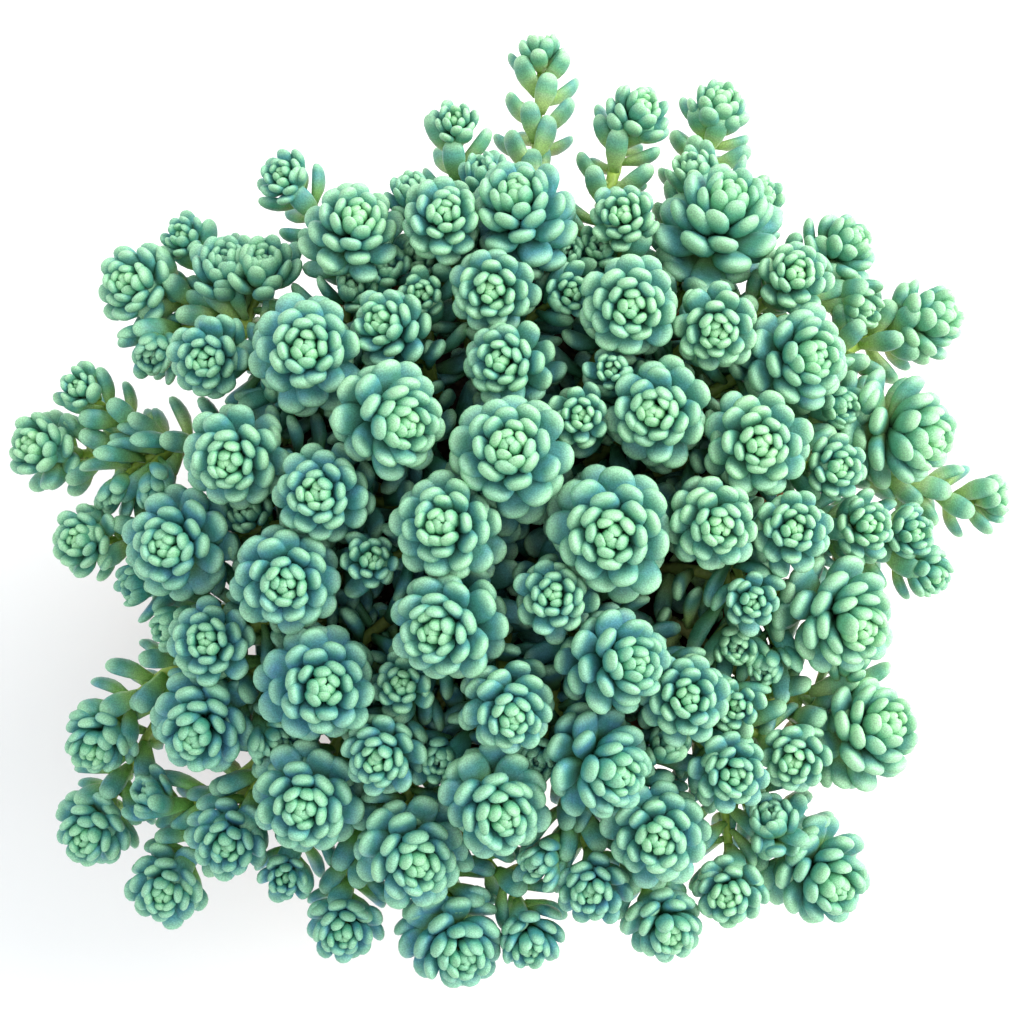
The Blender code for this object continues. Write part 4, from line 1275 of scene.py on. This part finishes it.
def add_soil(colours):
    """The soil: a disc whose top swells in the middle and is lumpy, over a plain side."""
    edge = inner_radius(SOIL_TOP) - 2 * SOIL_GAP
    shares = np.linspace(SOIL_EYE_SHARE, 1, SOIL_RINGS)
    top = [(edge * part, soil_height(edge * part)) for part in shares]
    foot = inner_radius(WALL) - 2 * SOIL_GAP
    floor = WALL + SOIL_GAP
    profile = [*top, (foot, floor), (SOIL_EYE, floor)]
    points = revolved(profile, SOIL_SIDES)
    lumps = sum(smooth_noise(points, size, seed) * high * MM for size, high, seed in LUMPS)
    is_top = np.arange(len(points)) < (SOIL_RINGS - 1) * SOIL_SIDES
    points[:, 2] += np.where(is_top, lumps - LUMPS_DEPTH, 0)
    middle = [[0, 0, points[:SOIL_SIDES, 2].mean()]]
    points = np.concatenate([middle, points, [[0, 0, floor]]])
    faces = tube_faces(len(profile), SOIL_SIDES)[:, ::-1]
    piece = mesh_object("potting_soil", points, faces, {}, (damp_soil(colours),))
    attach(piece, "root")
    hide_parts("soil")


def add_lamp(name, place, size, power):
    """A square area lamp aimed at the cushion."""
    lamp = bpy.data.lights.new(name, "AREA")
    lamp.size, lamp.energy = size, power
    made = bpy.data.objects.new(name, lamp)
    made.location = place
    facing = VIEW_MIDDLE - Vector(place)
    made.rotation_euler = facing.to_track_quat("-Z", "Y").to_euler()
    bpy.context.scene.collection.objects.link(made)


def add_camera():
    """The camera of the plan."""
    lens = bpy.data.cameras.new("camera")
    lens.sensor_width = SENSOR_WIDTH
    lens.lens = SENSOR_WIDTH * VIEW_DISTANCE / VIEW_WIDTH
    lens.clip_start = 0.01
    camera = bpy.data.objects.new("camera", lens)
    turn = Matrix((VIEW_RIGHT, VIEW_UP, VIEW_BACK)).transposed().to_4x4()
    camera.matrix_world = Matrix.Translation(VIEW_EYE) @ turn
    bpy.context.scene.collection.objects.link(camera)
    bpy.context.scene.camera = camera


def add_stage(colours, light):
    """A pale floor, an even sky, a soft lamp at the right, a weak one overhead, and the camera."""
    corners = FLOOR_HALF * np.array([[-1.0, -1, 0], [1, -1, 0], [1, 1, 0], [-1, 1, 0]])
    faces = np.array([[0, 1, 2], [0, 2, 3]])
    floor = mesh_object("floor", corners, faces, {}, (flat_white_paint(colours),))
    floor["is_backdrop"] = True
    world = bpy.data.worlds.new("soft_sky")
    world.use_nodes = True
    sky = world.node_tree.nodes["Background"]
    sky.inputs["Color"].default_value = linear(SKY_COLOUR)
    sky.inputs["Strength"].default_value = light.sky
    bpy.context.scene.world = world
    bpy.context.scene.view_settings.view_transform = "Standard"
    add_lamp("key_light", KEY_PLACE, KEY_SIZE, light.key)
    add_lamp("fill_light", FILL_PLACE, FILL_SIZE, light.fill)
    add_camera()


class SEDUM_OT_stage(bpy.types.Operator):
    """Set the floor, the lights and the camera"""

    bl_idname = "sedum.stage"
    bl_label = "Stage"

    def execute(self, context):
        add_stage(context.scene.sedum_colours, context.scene.sedum_light)
        return {"FINISHED"}


class SEDUM_OT_pot(bpy.types.Operator):
    """Turn the clay pot"""

    bl_idname = "sedum.pot"
    bl_label = "Clay pot"

    def execute(self, context):
        add_pot(context.scene.sedum_colours)
        return {"FINISHED"}


class SEDUM_OT_soil(bpy.types.Operator):
    """Fill the pot with soil"""

    bl_idname = "sedum.soil"
    bl_label = "Potting soil"

    def execute(self, context):
        add_soil(context.scene.sedum_colours)
        return {"FINISHED"}


class SEDUM_OT_stems(bpy.types.Operator):
    """Grow the leafy stems with their side shoots"""

    bl_idname = "sedum.stems"
    bl_label = "Leafy stems"

    def execute(self, context):
        colours = context.scene.sedum_colours
        add_stems(context.scene.sedum_leaves, waxy_leaf(colours), green_stem(colours))
        return {"FINISHED"}


OPERATORS = (SEDUM_OT_stage, SEDUM_OT_pot, SEDUM_OT_soil, SEDUM_OT_stems)


class SEDUM_PT_panel(bpy.types.Panel):
    """The sidebar's list of the sedum's pieces, with their sizes and colours"""

    bl_label = "Sedum"
    bl_idname = "SEDUM_PT_panel"
    bl_space_type = "VIEW_3D"
    bl_region_type = "UI"
    bl_category = "Sedum"

    def draw(self, context):
        for operator in OPERATORS:
            self.layout.operator(operator.bl_idname)
        scene = context.scene
        for settings in (scene.sedum_leaves, scene.sedum_colours, scene.sedum_light):
            column = self.layout.column()
            for key in settings.__annotations__:
                column.prop(settings, key)


CLASSES = (SedumLeaves, SedumColours, SedumLight, *OPERATORS, SEDUM_PT_panel)


def register():
    for one in CLASSES:
        bpy.utils.register_class(one)
    bpy.types.Scene.sedum_leaves = bpy.props.PointerProperty(type=SedumLeaves)
    bpy.types.Scene.sedum_colours = bpy.props.PointerProperty(type=SedumColours)
    bpy.types.Scene.sedum_light = bpy.props.PointerProperty(type=SedumLight)


def unregister():
    del bpy.types.Scene.sedum_leaves
    del bpy.types.Scene.sedum_colours
    del bpy.types.Scene.sedum_light
    for one in reversed(CLASSES):
        bpy.utils.unregister_class(one)


def main():
    register()
    cad_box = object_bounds()
    bpy.ops.sedum.stage()
    bpy.ops.sedum.pot()
    bpy.ops.sedum.soil()
    bpy.ops.sedum.stems()
    boxes = {"cad": cad_box, "visual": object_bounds()}
    sizes = {
        key: [[float(x) for x in corner] for corner in box] for key, box in boxes.items()
    }


if __name__ == "__main__":
    main()
